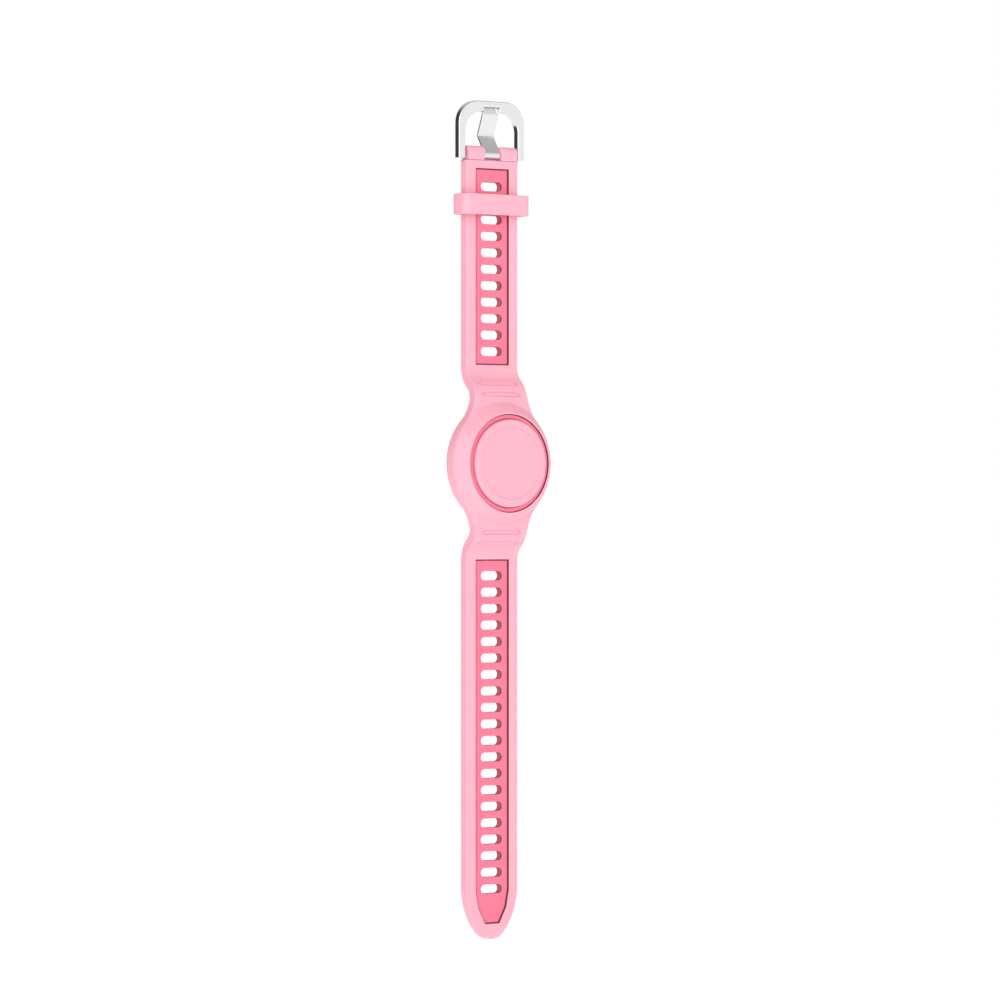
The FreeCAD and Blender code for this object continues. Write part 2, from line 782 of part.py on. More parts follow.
def make_bar_spring():
    """The coil spring between the tips: round wire swept along a helix, which no sketch feature makes."""
    coil, wire, length = value("spring_radius"), value("spring_wire"), 2 * value("plunger_start")
    clear = length - 2 * wire
    helix = Part.makeHelix(clear / value("spring_turns"), clear, coil)
    section = Part.Wire(Part.makeCircle(wire, Vector(coil, 0, 0), Vector(0, 1, 0)))
    shape = Part.Wire(helix).makePipeShell([section], True, True)
    spring = doc.addObject("Part::Feature", "spring_bar_spring")
    spring.Label = "spring_bar_spring"
    spring.Shape = shape
    middle = Vector(-clear / 2, -value("pin_up"), value("pin_z"))
    spring.Placement = FreeCAD.Placement(middle, FreeCAD.Rotation(Vector(0, 1, 0), 90))
    pieces.append(spring)


# ---- tracker module ------------------------------------------------------------------------------


def disc(name, radius, low, high, z="0"):
    body = new_body(name)
    sketch = new_sketch(body, "XZ_Plane", low)
    add_circle(sketch, "0", z, radius)
    pad(body, sketch, f"{high} - ({low})")
    return body


def slab(name, x, z, width, length, low, high):
    """A flat rectangular piece centred at x, z."""
    body = new_body(name)
    sketch = new_sketch(body, "XZ_Plane", low)
    corners = rectangle(
        f"{x} - {width} / 2", f"{z} - {length} / 2", f"{x} + {width} / 2", f"{z} + {length} / 2"
    )
    add_outline(sketch, corners)
    pad(body, sketch, f"{high} - ({low})")
    return body


def make_housing():
    """The module's front shell: wall, window lip, the deck under the face button, and three screw bosses."""
    body = new_body("module_housing")
    turned(
        body,
        [
            ("window_radius", "module_front"),
            ("window_radius", "lip_under"),
            ("module_inside_radius", "lip_under"),
            ("module_inside_radius", "deck_high"),
            ("deck_hole_radius", "deck_high"),
            ("deck_hole_radius", "deck_low"),
            ("module_inside_radius", "deck_low"),
            ("module_inside_radius", "case_split"),
            ("module_radius", "case_split"),
            ("module_radius", "module_front"),
        ],
    )
    sketch = new_sketch(body, "XZ_Plane", "boss_low")
    add_circle(sketch, "0", "screw_circle", "boss_radius")
    boss = pad(body, sketch, "deck_low - boss_low")
    sketch = new_sketch(body, "XZ_Plane", "screw_end")
    add_circle(sketch, "0", "screw_circle", "screw_radius")
    hole = pocket(body, sketch, "screw_end - boss_low + 1")
    repeat_round(body, [boss, hole], 3)


def make_rear_case():
    """The module's back shell: the battery bay, a spigot inside the housing, and the door's lug groove."""
    body = new_body("module_rear_case")
    plate = "back_plate_high"
    turned(
        body,
        [
            ("door_hole_radius", "module_back"),
            ("module_radius", "module_back"),
            ("module_radius", "case_split - 0.05"),
            ("module_inside_radius - 0.05", "case_split - 0.05"),
            ("module_inside_radius - 0.05", "seal_groove_low"),
            ("seal_groove_radius", "seal_groove_low"),
            ("seal_groove_radius", "seal_groove_high"),
            ("module_inside_radius - 0.05", "seal_groove_high"),
            ("module_inside_radius - 0.05", "spigot_high"),
            ("spigot_inside_radius", "spigot_high"),
            ("spigot_inside_radius", plate),
            ("bay_outside_radius", plate),
            ("bay_outside_radius", "bay_top"),
            ("bay_inside_radius", "bay_top"),
            ("bay_inside_radius", plate),
            ("door_hole_radius", plate),
            ("door_hole_radius", "lug_high + 0.05"),
            ("lug_groove_radius", "lug_high + 0.05"),
            ("lug_groove_radius", "lug_low - 0.05"),
            ("door_hole_radius", "lug_low - 0.05"),
        ],
    )
    # ways in for the door's lugs, a sixth of a turn from where they lock
    entry = rectangle("-lug_width / 2 - 0.2", "door_hole_radius - 0.6", "lug_width / 2 + 0.2", "lug_reach")
    sketch = new_sketch(body, "XZ_Plane", "lug_low")
    add_outline(sketch, [(x, f"-({z})") for x, z in entry][::-1])
    way_in = pocket(body, sketch, "lug_low - module_back + 1")
    repeat_round(body, [way_in], 3)
    # screw heads sink into the back, and their shanks pass through
    sketch = new_sketch(body, "XZ_Plane", "boss_low - 0.1")
    add_circle(sketch, "0", "screw_circle", "screw_head_radius + 0.15")
    support = add_feature(body, "Pad", sketch, SideType="One side", Reversed=True)
    support.setExpression("Length", bound("boss_low - 0.1 - back_plate_high"))
    sketch = new_sketch(body, "XZ_Plane", "boss_low + 1")
    add_circle(sketch, "0", "screw_circle", "screw_radius + 0.05")
    shank = pocket(body, sketch, "boss_low + 1")
    sketch = new_sketch(body, "XZ_Plane", "screw_head_high + 0.02")
    add_circle(sketch, "0", "screw_circle", "screw_head_radius + 0.05")
    head = pocket(body, sketch, "2")
    repeat_round(body, [support, shank, head], 3)
    # a notch in the bay wall for the positive contact
    sketch = new_sketch(body, "XZ_Plane", "bay_top + 1")
    add_outline(sketch, rectangle("bay_inside_radius - 1", "-1.6", "bay_outside_radius + 0.5", "1.6"))
    pocket(body, sketch, "bay_top - back_plate_high + 0.5")


def make_screws():
    """Three screws that draw the rear case to the housing, as one group of separate solids."""
    screws = []
    for count in range(3):
        rods = []
        for part, radius, start, end in (
            ("head", "screw_head_radius", "module_back + 0.1", "screw_head_high"),
            ("shank", "screw_radius - 0.02", "screw_head_high", "screw_end - 0.1"),
        ):
            rod = doc.addObject("Part::Cylinder", f"screw_{part}_{count}")
            rod.setExpression("Radius", bound(radius))
            rod.setExpression("Height", bound(f"{end} - ({start})"))
            rod.Placement.Rotation = FreeCAD.Rotation(Vector(1, 0, 0), 90)
            turn = f"{90 + 120 * count} deg"
            rod.setExpression("Placement.Base.x", bound(f"screw_circle * cos({turn})"))
            rod.setExpression("Placement.Base.z", bound(f"screw_circle * sin({turn})"))
            rod.setExpression("Placement.Base.y", bound(f"-({start})"))
            rods.append(rod)
        screw = doc.addObject("Part::Fuse", f"screw_{count}")
        screw.Base, screw.Tool = rods
        screws.append(screw)
    group = doc.addObject("Part::Compound", "housing_screws")
    group.Label = "housing_screws"
    group.Links = screws
    pieces.append(group)


def make_face_button():
    """The cap that fills the housing's window, held by its flange, with a stem over the switch."""
    body = new_body("face_button")
    turned(
        body,
        [
            ("0", "cap_top - cap_dish_depth"),
            ("cap_dish_radius", "cap_top - cap_dish_depth"),
            ("cap_dish_radius + 0.3", "cap_top"),
            ("cap_radius - 0.8", "cap_top", "-0.8"),
            ("cap_radius", "cap_top - 0.8"),
            ("cap_radius", "cap_flange_high"),
            ("cap_flange_radius", "cap_flange_high"),
            ("cap_flange_radius", "cap_flange_low"),
            ("cap_flange_radius - 2.6", "cap_flange_low"),
            ("cap_flange_radius - 2.6", "cap_flange_high + 0.4"),
            ("cap_plunger_radius", "cap_flange_high + 0.4"),
            ("cap_plunger_radius", "cap_plunger_low"),
            ("0", "cap_plunger_low"),
        ],
    )


def make_rings():
    """The soft ring under the button, the seal between the module's shells, and the battery door's seal."""
    body = new_body("button_gasket")
    gasket = rectangle(
        "gasket_inside_radius", "deck_high", "gasket_outside_radius", "deck_high + gasket_height"
    )
    turned(body, gasket)
    for name, ring_radius, height in (
        ("case_seal_ring", "case_seal_radius", "(seal_groove_low + seal_groove_high) / 2"),
        ("door_seal_ring", "door_seal_radius", "door_seal_up"),
    ):
        ring = doc.addObject("Part::Torus", name)
        ring.Label = name
        ring.setExpression("Radius1", bound(ring_radius))
        ring.setExpression("Radius2", bound("seal_section_radius"))
        ring.Placement = FreeCAD.Placement(
            Vector(0, -value(height), 0), FreeCAD.Rotation(Vector(1, 0, 0), 90)
        )
        pieces.append(ring)


def make_battery_door():
    """A round door with three lugs, turned by a coin in the slot across its back."""
    body = new_body("battery_door")
    turned(
        body,
        [
            ("0", "module_back"),
            ("door_radius", "module_back"),
            ("door_radius", "lug_high - door_step"),
            ("door_radius - door_step_width", "lug_high - door_step"),
            ("door_radius - door_step_width", "door_high"),
            ("0", "door_high"),
        ],
    )
    sketch = new_sketch(body, "XZ_Plane", "lug_low")
    add_outline(sketch, rectangle("-lug_width / 2", "door_radius - 2", "lug_width / 2", "lug_reach"))
    lug = pad(body, sketch, "lug_high - door_step - lug_low")
    repeat_round(body, [lug], 3)
    sketch = new_sketch(body, "XZ_Plane", "module_back + coin_slot_depth")
    half, across = "coin_slot_length / 2", "coin_slot_width / 2"
    add_outline(sketch, rectangle(f"-{half}", f"-{across}", half, across))
    pocket(body, sketch, "coin_slot_depth + 1")


def make_coin_cell():
    """A 20 x 3.2 mm coin cell. Its can faces the door, and its smaller negative cap faces the board."""
    body = new_body("coin_cell")
    turned(
        body,
        [
            ("0", "cell_low"),
            ("cell_radius", "cell_low"),
            ("cell_radius", "cell_high - 0.35"),
            ("cell_radius - 1.2", "cell_high - 0.3"),
            ("cell_radius - 1.2", "cell_high"),
            ("0", "cell_high"),
        ],
    )


# chip: (x, z, width, length, height)
CHIPS = {
    "processor_chip": (7.4, 3.6, 5, 5, 0.85),
    "memory_chip": (-7.2, 3.6, 4, 3, 0.7),
    "accelerometer_chip": (-8, -1.2, 2, 2, 0.9),
    "crystal": (8, -1.6, 3.2, 1.6, 0.7),
    "chip_antenna": (-5, 8.8, 5, 1.6, 1.1),
}


def make_board():
    """The round circuit board, notched for the screw bosses, and what is soldered to it."""
    body = disc("circuit_board", "board_radius", "board_low", "board_high")
    sketch = new_sketch(body, "XZ_Plane", "board_high + 1")
    add_circle(sketch, "0", "screw_circle", "boss_radius + 0.15")
    notch = pocket(body, sketch, "board_high")
    repeat_round(body, [notch], 3)
    for name, (x, z, width, length, height) in CHIPS.items():
        slab(name, str(x), str(z), str(width), str(length), "board_high", f"board_high + {height}")
    switch_top = "board_high + switch_height"
    body = slab("tact_switch", "0", "0", "switch_width", "switch_width", "board_high", switch_top)
    sketch = new_sketch(body, "XZ_Plane", switch_top)
    add_circle(sketch, "0", "0", "switch_key_radius")
    pad(body, sketch, "switch_key_height")
    disc("vibration_motor", "motor_radius", "board_high", "deck_low - 0.05", "motor_z")


def make_contacts():
    """The battery's two spring contacts: a bowed leaf above the cell, and a clip beside its rim."""
    body = new_body("battery_contact_negative")
    top, thin = "board_low", "contact_thickness"
    points = [
        ("-6", f"{top} - {thin}"),
        ("-4", f"{top} - {thin}"),
        ("0", "cell_high"),
        ("4", f"{top} - {thin}"),
        ("6", f"{top} - {thin}"),
        ("6", top),
        ("4", top),
        ("0", f"cell_high + {thin}"),
        ("-4", top),
        ("-6", top),
    ]
    sketch = new_sketch(body, "YZ_Plane")
    add_outline(sketch, side_view(points))
    pad(body, sketch, "contact_width", "Symmetric")

    body = new_body("battery_contact_positive")
    sketch = new_sketch(body, "XY_Plane", "-clip_width / 2")
    inner, outer = "cell_radius + 0.05", "cell_radius + 0.3"
    corners = [
        (inner, "-clip_low"),
        (inner, "-board_low"),
        ("bay_outside_radius + 0.8", "-board_low"),
        ("bay_outside_radius + 0.8", "-board_low + 0.1"),
        (outer, "-board_low + 0.1"),
        (outer, "-clip_low"),
    ]
    add_outline(sketch, corners)
    pad(body, sketch, "clip_width")


# ---- build and write -----------------------------------------------------------------------------


def check_document():
    """Stops if any feature failed, or if a piece isn't a sound solid."""
    for item in doc.Objects:
        if {"Invalid", "Error"} & set(item.State):
            raise RuntimeError(f"{item.Label} ({item.TypeId}) failed: {item.State}")
    for piece in pieces:
        shape = piece.Shape
        if shape.isNull() or not shape.isValid() or not shape.Solids:
            raise RuntimeError(f"{piece.Label} is not a sound solid")


def write_pieces():
    os.makedirs(OUTPUT, exist_ok=True)
    for piece in pieces:
        piece.Shape.exportStep(os.path.join(OUTPUT, f"{piece.Label}.step"))


make_pod_holder()
make_buckle_strap()
make_tail_strap()
make_keeper()
make_buckle_frame()
make_tongue()
make_spring_bar()
make_housing()
make_rear_case()
make_screws()
make_face_button()
make_rings()
make_battery_door()
make_coin_cell()
make_board()
make_contacts()
doc.recompute()
check_document()
write_pieces()
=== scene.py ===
import math

import bmesh
import bpy
import numpy as np
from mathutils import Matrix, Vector


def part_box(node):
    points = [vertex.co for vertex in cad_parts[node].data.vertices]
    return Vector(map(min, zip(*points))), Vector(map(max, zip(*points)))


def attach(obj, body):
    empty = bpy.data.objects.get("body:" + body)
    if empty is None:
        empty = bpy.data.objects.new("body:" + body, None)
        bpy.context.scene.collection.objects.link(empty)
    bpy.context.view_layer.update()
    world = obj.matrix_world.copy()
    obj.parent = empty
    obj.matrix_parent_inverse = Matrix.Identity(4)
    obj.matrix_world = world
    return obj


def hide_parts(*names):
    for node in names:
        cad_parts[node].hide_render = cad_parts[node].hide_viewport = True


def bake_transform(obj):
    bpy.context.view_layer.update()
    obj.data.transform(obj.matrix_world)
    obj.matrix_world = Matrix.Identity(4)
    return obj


# A two-colour silicone tracker band, laid out straight and seen from its left. Shapes are worked out here in
# millimetres as (x, up, z) points, where up is the height above the wrist side, which is -Y in the frame.

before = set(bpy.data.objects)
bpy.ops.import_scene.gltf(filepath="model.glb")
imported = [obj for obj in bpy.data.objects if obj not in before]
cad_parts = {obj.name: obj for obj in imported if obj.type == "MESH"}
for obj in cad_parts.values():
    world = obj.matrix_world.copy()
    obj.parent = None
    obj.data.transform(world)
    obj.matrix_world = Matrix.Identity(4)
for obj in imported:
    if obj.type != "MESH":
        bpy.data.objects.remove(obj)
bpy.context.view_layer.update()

MM = 0.001


def node_box(name):
    """Lowest and highest (x, up, z) of a CAD node, in millimetres."""
    low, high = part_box(name)
    return (Vector((low.x, -high.y, low.z)) / MM, Vector((high.x, -low.y, high.z)) / MM)


STRAP_HIGH = node_box("tail_strap_2")[1]
POD_HIGH = node_box("pod_holder")[1]
BUCKLE_LOW, BUCKLE_HIGH = node_box("buckle_frame")
KNUCKLE_HIGH = node_box("buckle_strap_outer")[1]
KEEPER_LOW, KEEPER_HIGH = node_box("keeper_loop")
INLAY_GAP = 0.1  # between an inlay and its recess
BUCKLE_INLAY_START = node_box("buckle_inlay_inner")[0].z - INLAY_GAP
BUCKLE_INLAY_END = node_box("buckle_inlay_outer")[1].z + INLAY_GAP
TAIL_INLAY_START = -node_box("tail_inlay_1")[1].z - INLAY_GAP
TAIL_INLAY_END = -node_box("tail_inlay_4")[0].z + INLAY_GAP
TAIL_END = -node_box("tail_strap_4")[0].z

HALF = STRAP_HIGH.x
THICK = STRAP_HIGH.y
POD_RADIUS = POD_HIGH.x
POD_TOP = POD_HIGH.y

# strap
ROUNDING = 0.4
ROUNDING_STEPS = 4
SLOT_START = 34.0
SLOT_PITCH = 5.0
SLOT_HALF_WIDTH = 1.4
SLOT_REACH = 2.6  # from the middle to the centre of a slot's round end
INLAY_LOW, INLAY_HIGH = node_box("tail_inlay_2")
INLAY_TOP, INLAY_FLOOR = INLAY_HIGH.y, INLAY_LOW.y
RIM = 0.25  # width of the rolled edge round the inlay's recess, which gets painted shade
BACK_RIM = 0.35  # rounding of a slot's mouth on the wrist side
INLAY_HALF = INLAY_HIGH.x + INLAY_GAP  # half-width of the recess
INLAY_ROUNDING = 0.12
SHOULDER = 129.5  # where the tail's inlay starts to taper
WAIST = 134.5
WAIST_HALF = 5.1
POINT_HALF = 2.55
ROUND_START = 128.3  # where the tail's sides start to turn in
NOSE_RADIUS = 6.0
TAIL_REACH = TAIL_END - NOSE_RADIUS - ROUND_START
TAIL_SIDE = (HALF**2 + TAIL_REACH**2 - NOSE_RADIUS**2) / (2 * (HALF - NOSE_RADIUS))  # radius of its sides
TAIL_MEETING = math.asin(TAIL_REACH / (TAIL_SIDE - NOSE_RADIUS))  # the turn at which the nose takes over
TAIL_OUTLINE = TAIL_MEETING * TAIL_SIDE + (math.pi / 2 - TAIL_MEETING) * NOSE_RADIUS  # its length
STRAP_STOP = 91.95  # where the strap's own surface ends inside the knuckle
RAMP_START, RAMP_END = 90.0, 94.0  # where the strap's front swells into the knuckle

# neck and pod
NECK_NEAR = 18.7
NECK_FAR = 29.4
NECK_FILLET = 15.0
LIFT = 4.9
BEND = ((NECK_FAR - NECK_NEAR) ** 2 + LIFT**2) / (4 * LIFT)
NECK_CUT = 19.6  # where the pod's piece meets the neck's piece
NECK_FLAT = TAIL_INLAY_START - RIM - 0.001
NECK_END_OF = {1: BUCKLE_INLAY_START - RIM, -1: TAIL_INLAY_START - RIM}
GROOVES = {20.9: 0.35, 24.2: 0.16}  # place: depth
GROOVE_REACH = 6.4
GROOVE_HALF = 0.65
GROOVE_WALL = 0.22
GROOVE_STEEP = 0.045  # a face that falls by more than this is in a groove's wall, which gets painted shade
CREASE = 0.18  # softness of the crease between pod and neck
BACK_CREASE = 0.4
BOW = 20.0  # radius of the pod's bowed flanks
BACK_RADIUS = 14.3
RIM_RADIUS = 15.2
POCKET_RADIUS = 14.85
POCKET_SPLIT = 5.0  # height at which the pocket's wall passes from the front's grid to the back's
POCKET_FLOOR = 1.2
OPENING_RADIUS = 9.5

LIGHT, SEAM_SHADE, GROOVE_SHADE, SLOT_SHADE = 0, 1, 2, 3  # places in the band's list of materials; all but the first hold painted shade
INLAY_SLOT_SHADE = 1  # and in the inlay's, for painted shade on its slots' walls


# ---- lines and curves ------------------------------------------------------------------------------


def quarter_turn(steps):
    return [math.pi / 2 * step / steps for step in range(steps + 1)]


def rolled(radius, steps):
    """(inset, drop) round an edge of this radius, from its start on the face to its end on the side."""
    return [(radius * (1 - math.sin(turn)), radius * (1 - math.cos(turn))) for turn in quarter_turn(steps)]


def between(a, b, share):
    return a[0] + (b[0] - a[0]) * share, a[1] + (b[1] - a[1]) * share


SHARPEST_MITRE = 0.3


def mitred(line, distance, closed=False):
    """Each point of a 2-D line moved to the line's left, so that its edges move by this distance."""
    count = len(line)
    moved = []
    for index, (x, y) in enumerate(line):
        normals = []
        for a, b in ((index - 1, index), (index, index + 1)):
            if closed or (a >= 0 and b < count):
                dx, dy = line[b % count][0] - line[a][0], line[b % count][1] - line[a][1]
                length = math.hypot(dx, dy)
                normals.append((-dy / length, dx / length))
        nx, ny = sum(n[0] for n in normals), sum(n[1] for n in normals)
        size = math.hypot(nx, ny)
        nx, ny = nx / size, ny / size
        step = distance / max(nx * normals[0][0] + ny * normals[0][1], SHARPEST_MITRE)
        moved.append((x + nx * step, y + ny * step))
    return moved


def rounded(corner, radius, before, after, steps=4):
    """A corner of a profile replaced by an arc of this radius."""
    corner = Vector(corner)
    a, b = (Vector(before) - corner).normalized(), (Vector(after) - corner).normalized()
    half = a.angle(b) / 2
    reach = radius / math.tan(half)
    start, end = corner + a * reach, corner + b * reach
    centre = corner + (a + b).normalized() * (radius / math.sin(half))
    sweep = math.pi - 2 * half
    points = []
    for step in range(steps + 1):
        share = step / steps
        weights = [math.sin(part * sweep) / math.sin(sweep) for part in (1 - share, share)]
        points.append(tuple(centre + (start - centre) * weights[0] + (end - centre) * weights[1]))
    return points


def softened(corners, steps=4):
    """A line of points, where a third number is the radius that rounds that corner."""
    points = []
    for index, corner in enumerate(corners):
        if len(corner) == 2:
            points.append(tuple(corner))
            continue
        before = corners[index - 1][:2]
        after = corners[(index + 1) % len(corners)][:2]
        points += rounded(corner[:2], corner[2], before, after, steps)
    return points


# ---- heights of the band's two faces ---------------------------------------------------------------


def smooth_max(a, b, soft):
    near = max(soft - abs(a - b), 0) / soft
    return max(a, b) + near * near * soft / 4


def bowed(start, end):
    """Height of an arc of the pod's flank between two (radius, up) points, carried on straight beyond it."""
    (r0, u0), (r1, u1) = start, end
    chord = math.hypot(r1 - r0, u1 - u0)
    reach = math.sqrt(BOW**2 - chord**2 / 4)
    inward = -1 if u1 > u0 and r1 > r0 else 1
    cr = (r0 + r1) / 2 - abs(u1 - u0) / chord * reach
    cu = (u0 + u1) / 2 - inward * abs(r1 - r0) / chord * reach
    outer = max(r0, r1)
    slope = -inward * (outer - cr) / math.sqrt(BOW**2 - (outer - cr) ** 2)

    def height(radius):
        inside = min(radius, outer)
        return cu + inward * math.sqrt(BOW**2 - (inside - cr) ** 2) + slope * (radius - inside)

    return height


front_flank = bowed((POD_RADIUS, LIFT + THICK), (RIM_RADIUS, POD_TOP))
back_flank = bowed((BACK_RADIUS, 0.0), (POD_RADIUS, LIFT))


def neck_height(z, front):
    """The neck climbs from the strap to the pod in two bends that meet tangent."""
    z = abs(z)
    if z >= NECK_FLAT:
        return THICK if front else 0.0
    if z <= NECK_NEAR:
        return LIFT + THICK if front else LIFT
    near_strap = BEND - THICK / 2 if front else BEND + THICK / 2
    near_pod = 2 * BEND - near_strap
    if z > NECK_FAR - (NECK_FAR - NECK_NEAR) / (2 * BEND) * near_strap:
        return THICK / 2 + BEND - math.sqrt(near_strap**2 - (NECK_FAR - z) ** 2)
    return LIFT + THICK / 2 - BEND + math.sqrt(near_pod**2 - (z - NECK_NEAR) ** 2)


def groove_depth(x, z):
    depth = 0.0
    for place, deepest in GROOVES.items():
        away = math.hypot(max(abs(x) - GROOVE_REACH, 0), abs(z) - place)
        share = min(max((GROOVE_HALF - away) / GROOVE_WALL, 0), 1)
        depth += deepest * share * share * (3 - 2 * share)
    return depth


def front_height(x, z):
    if abs(z) >= NECK_FLAT:
        return THICK
    radius = math.hypot(x, z)
    return smooth_max(neck_height(z, True), front_flank(radius), CREASE) - groove_depth(x, z)


def back_height(x, z):
    if abs(z) >= NECK_FLAT:
        return 0.0
    radius = math.hypot(x, z)
    pod = 0.0 if radius < BACK_RADIUS - 1 else smooth_max(back_flank(radius), 0.0, BACK_CREASE)
    return -smooth_max(-neck_height(z, False), -pod, CREASE)


# ---- collecting faces ------------------------------------------------------------------------------


WELD = 2e-4  # points this near to each other are one


class Shell:
    """Faces collected from grids of (x, up, z) points in millimetres, each with a material number."""

    def __init__(self):
        self.points = []
        self.faces = []
        self.kinds = []

    def grid(self, rows, kind=LIGHT, wrap=False):
        """Quads between neighbouring rows. wrap joins each row's last point to its first."""
        start, width = len(self.points), len(rows[0])
        for row in rows:
            assert len(row) == width, (len(row), width)
            self.points.extend(row)
        for i in range(len(rows) - 1):
            for j in range(width if wrap else width - 1):
                k = (j + 1) % width
                a, b = start + i * width, start + (i + 1) * width
                self.faces.append((a + j, a + k, b + k, b + j))
                self.kinds.append(kind)

    def mirrored_grid(self, rows, kind=LIGHT):
        """The grid, and its mirror image on the left."""
        self.grid(rows, kind)
        self.grid([[(-x, up, z) for x, up, z in row] for row in rows], kind)

    def cap(self, loop, kind=LIGHT):
        start = len(self.points)
        self.points.extend(loop)
        self.faces.append(tuple(range(start, start + len(loop))))
        self.kinds.append(kind)

    def welded(self):
        """Points as an array in metres in the frame, and faces over them, with repeated points joined."""
        raw = np.array(self.points, float)
        steps = np.round(raw / WELD).astype(int)
        _, first, number = np.unique(steps, axis=0, return_index=True, return_inverse=True)
        number = number.ravel()
        points = raw[first]
        points = np.stack([points[:, 0], -points[:, 1], points[:, 2]], 1) * MM
        faces, kinds = [], []
        for face, kind in zip(self.faces, self.kinds):
            ring = [int(number[i]) for i in face]
            ring = [v for i, v in enumerate(ring) if v != ring[i - 1]]
            if len(set(ring)) >= 3:
                faces.append(ring)
                kinds.append(kind)
        return points, faces, kinds


def mesh_object(name, points, faces, kinds, materials):
    mesh = bpy.data.meshes.new(name)
    mesh.from_pydata([tuple(p) for p in points], [], faces)
    for material in materials:
        mesh.materials.append(material)
    mesh.polygons.foreach_set("material_index", kinds)
    mesh.validate()
    work = bmesh.new()
    work.from_mesh(mesh)
    bmesh.ops.recalc_face_normals(work, faces=work.faces)
    if work.calc_volume(signed=True) < 0:
        bmesh.ops.reverse_faces(work, faces=work.faces)
    work.to_mesh(mesh)
    work.free()
    piece = bpy.data.objects.new(name, mesh)
    bpy.context.scene.collection.objects.link(piece)
    return piece


def shade_by_area(piece, sharp_degrees=50):
    """Smooth shading in which large faces stay flat and only the roundings between them turn."""
    mesh = piece.data
    mesh.set_sharp_from_angle(angle=math.radians(sharp_degrees))
    for polygon in mesh.polygons:
        polygon.use_smooth = True
    modifier = piece.modifiers.new("Weighted normals", "WEIGHTED_NORMAL")
    modifier.keep_sharp = True
    return piece


def make_piece(name, shell, materials, sharp_degrees=50):
    return shade_by_area(mesh_object(name, *shell.welded(), materials), sharp_degrees)


# ---- the silicone band -----------------------------------------------------------------------------

CELL_COLUMNS = [0, 0.87, 1.73, 2.6, 3.4, 4.2, 4.8, 5.3, 5.7, INLAY_HALF]
NECK_COLUMNS = [0, 0.87, 1.73, 2.6, 3.4, 4.2, 4.8, 5.3, 5.8, INLAY_HALF + RIM]
MARGIN_SHARES = [0, 0.2, 0.44, 0.72, 1]
MARGIN = HALF - ROUNDING - INLAY_HALF - RIM
FRONT_COLUMNS = NECK_COLUMNS + [INLAY_HALF + RIM + MARGIN * share for share in MARGIN_SHARES[1:]]
BACK_COLUMNS = CELL_COLUMNS + list(np.linspace(INLAY_HALF, HALF - ROUNDING, len(MARGIN_SHARES))[1:])
OUTER_COLUMNS = BACK_COLUMNS[len(CELL_COLUMNS) - 1 :]
OUTER_SHARES = [(x - INLAY_HALF) / (HALF - ROUNDING - INLAY_HALF) for x in OUTER_COLUMNS]
CELL_ROWS = 6
NEARLY = 1e-6


def both_ways(columns):
    return [-x for x in columns[:0:-1]] + list(columns)


def side_reach(z, inset):
    """Half-width of the neck at z, this far in from its outline."""
    z = abs(z)
    centre = HALF + NECK_FILLET
    tangent = math.sqrt((POD_RADIUS + NECK_FILLET) ** 2 - centre**2)
    if z >= tangent:
        return HALF - inset
    return centre - math.sqrt((NECK_FILLET + inset) ** 2 - (tangent - z) ** 2)


FILLET_CENTRE = (HALF + NECK_FILLET, math.sqrt((POD_RADIUS + NECK_FILLET) ** 2 - (HALF + NECK_FILLET) ** 2))
TANGENT_ANGLE = math.atan2(FILLET_CENTRE[1], FILLET_CENTRE[0])
RING_RADIUS = POD_RADIUS - ROUNDING
FAN_ROWS = 16
SIDE_STEPS = 36
SIDE_ANGLES = np.linspace(TANGENT_ANGLE, -TANGENT_ANGLE, SIDE_STEPS + 1)


def ring_crossing(share):
    """Where a neck column at this share of the half-width meets the ring just inside the pod's outline."""
    low, high = RING_RADIUS * math.sin(TANGENT_ANGLE), NECK_CUT
    if share > 0.9999:
        return low
    for _ in range(60):
        middle = (low + high) / 2
        if math.hypot(share * side_reach(middle, ROUNDING), middle) < RING_RADIUS:
            low = middle
        else:
            high = middle
    return low


def neck_rows_for(side):
    """Z places from the strap to the cut, close together where the flex grooves are."""
    end = NECK_END_OF[side]
    nearer, further = GROOVES
    far, near = further + GROOVE_HALF + 0.15, further - GROOVE_HALF - 0.15
    rows = list(np.linspace(end, far, 10))
    rows += list(np.linspace(far, near, 23)[1:])
    far, near_last = nearer + GROOVE_HALF + 0.15, NECK_CUT + 0.5
    rows += list(np.linspace(near, far, 6)[1:])
    rows += list(np.linspace(far, near_last, 23)[1:])
    rows.append(NECK_CUT)
    return rows


def fan_points():
    """Rows of (x, z) from the cut down to the ring round the pod."""
    shares = [x / FRONT_COLUMNS[-1] for x in both_ways(FRONT_COLUMNS)]
    ends = [ring_crossing(abs(share)) for share in shares]
    rows = []
    for i in range(FAN_ROWS + 1):
        done = i / FAN_ROWS
        places = [NECK_CUT + (end - NECK_CUT) * done for end in ends]
        rows.append([(share * side_reach(z, ROUNDING), z) for share, z in zip(shares, places)])
    return rows


def station_strip(station):
    """Points round the band's edge at one place on its outline: front rounding, side wall, back rounding."""
    x, z, inward_x, inward_z = station
    roll = rolled(ROUNDING, ROUNDING_STEPS)
    strip = []
    for height, side, order in ((front_height, 1, roll), (back_height, -1, roll[::-1])):
        for inset, drop in order:
            px, pz = x + inward_x * inset, z + inward_z * inset
            strip.append((px, height(px, pz) - side * drop, pz))
        if side > 0:
            low = back_height(x, z) + ROUNDING
            strip.append((x, (strip[-1][1] + low) / 2, z))
    return strip


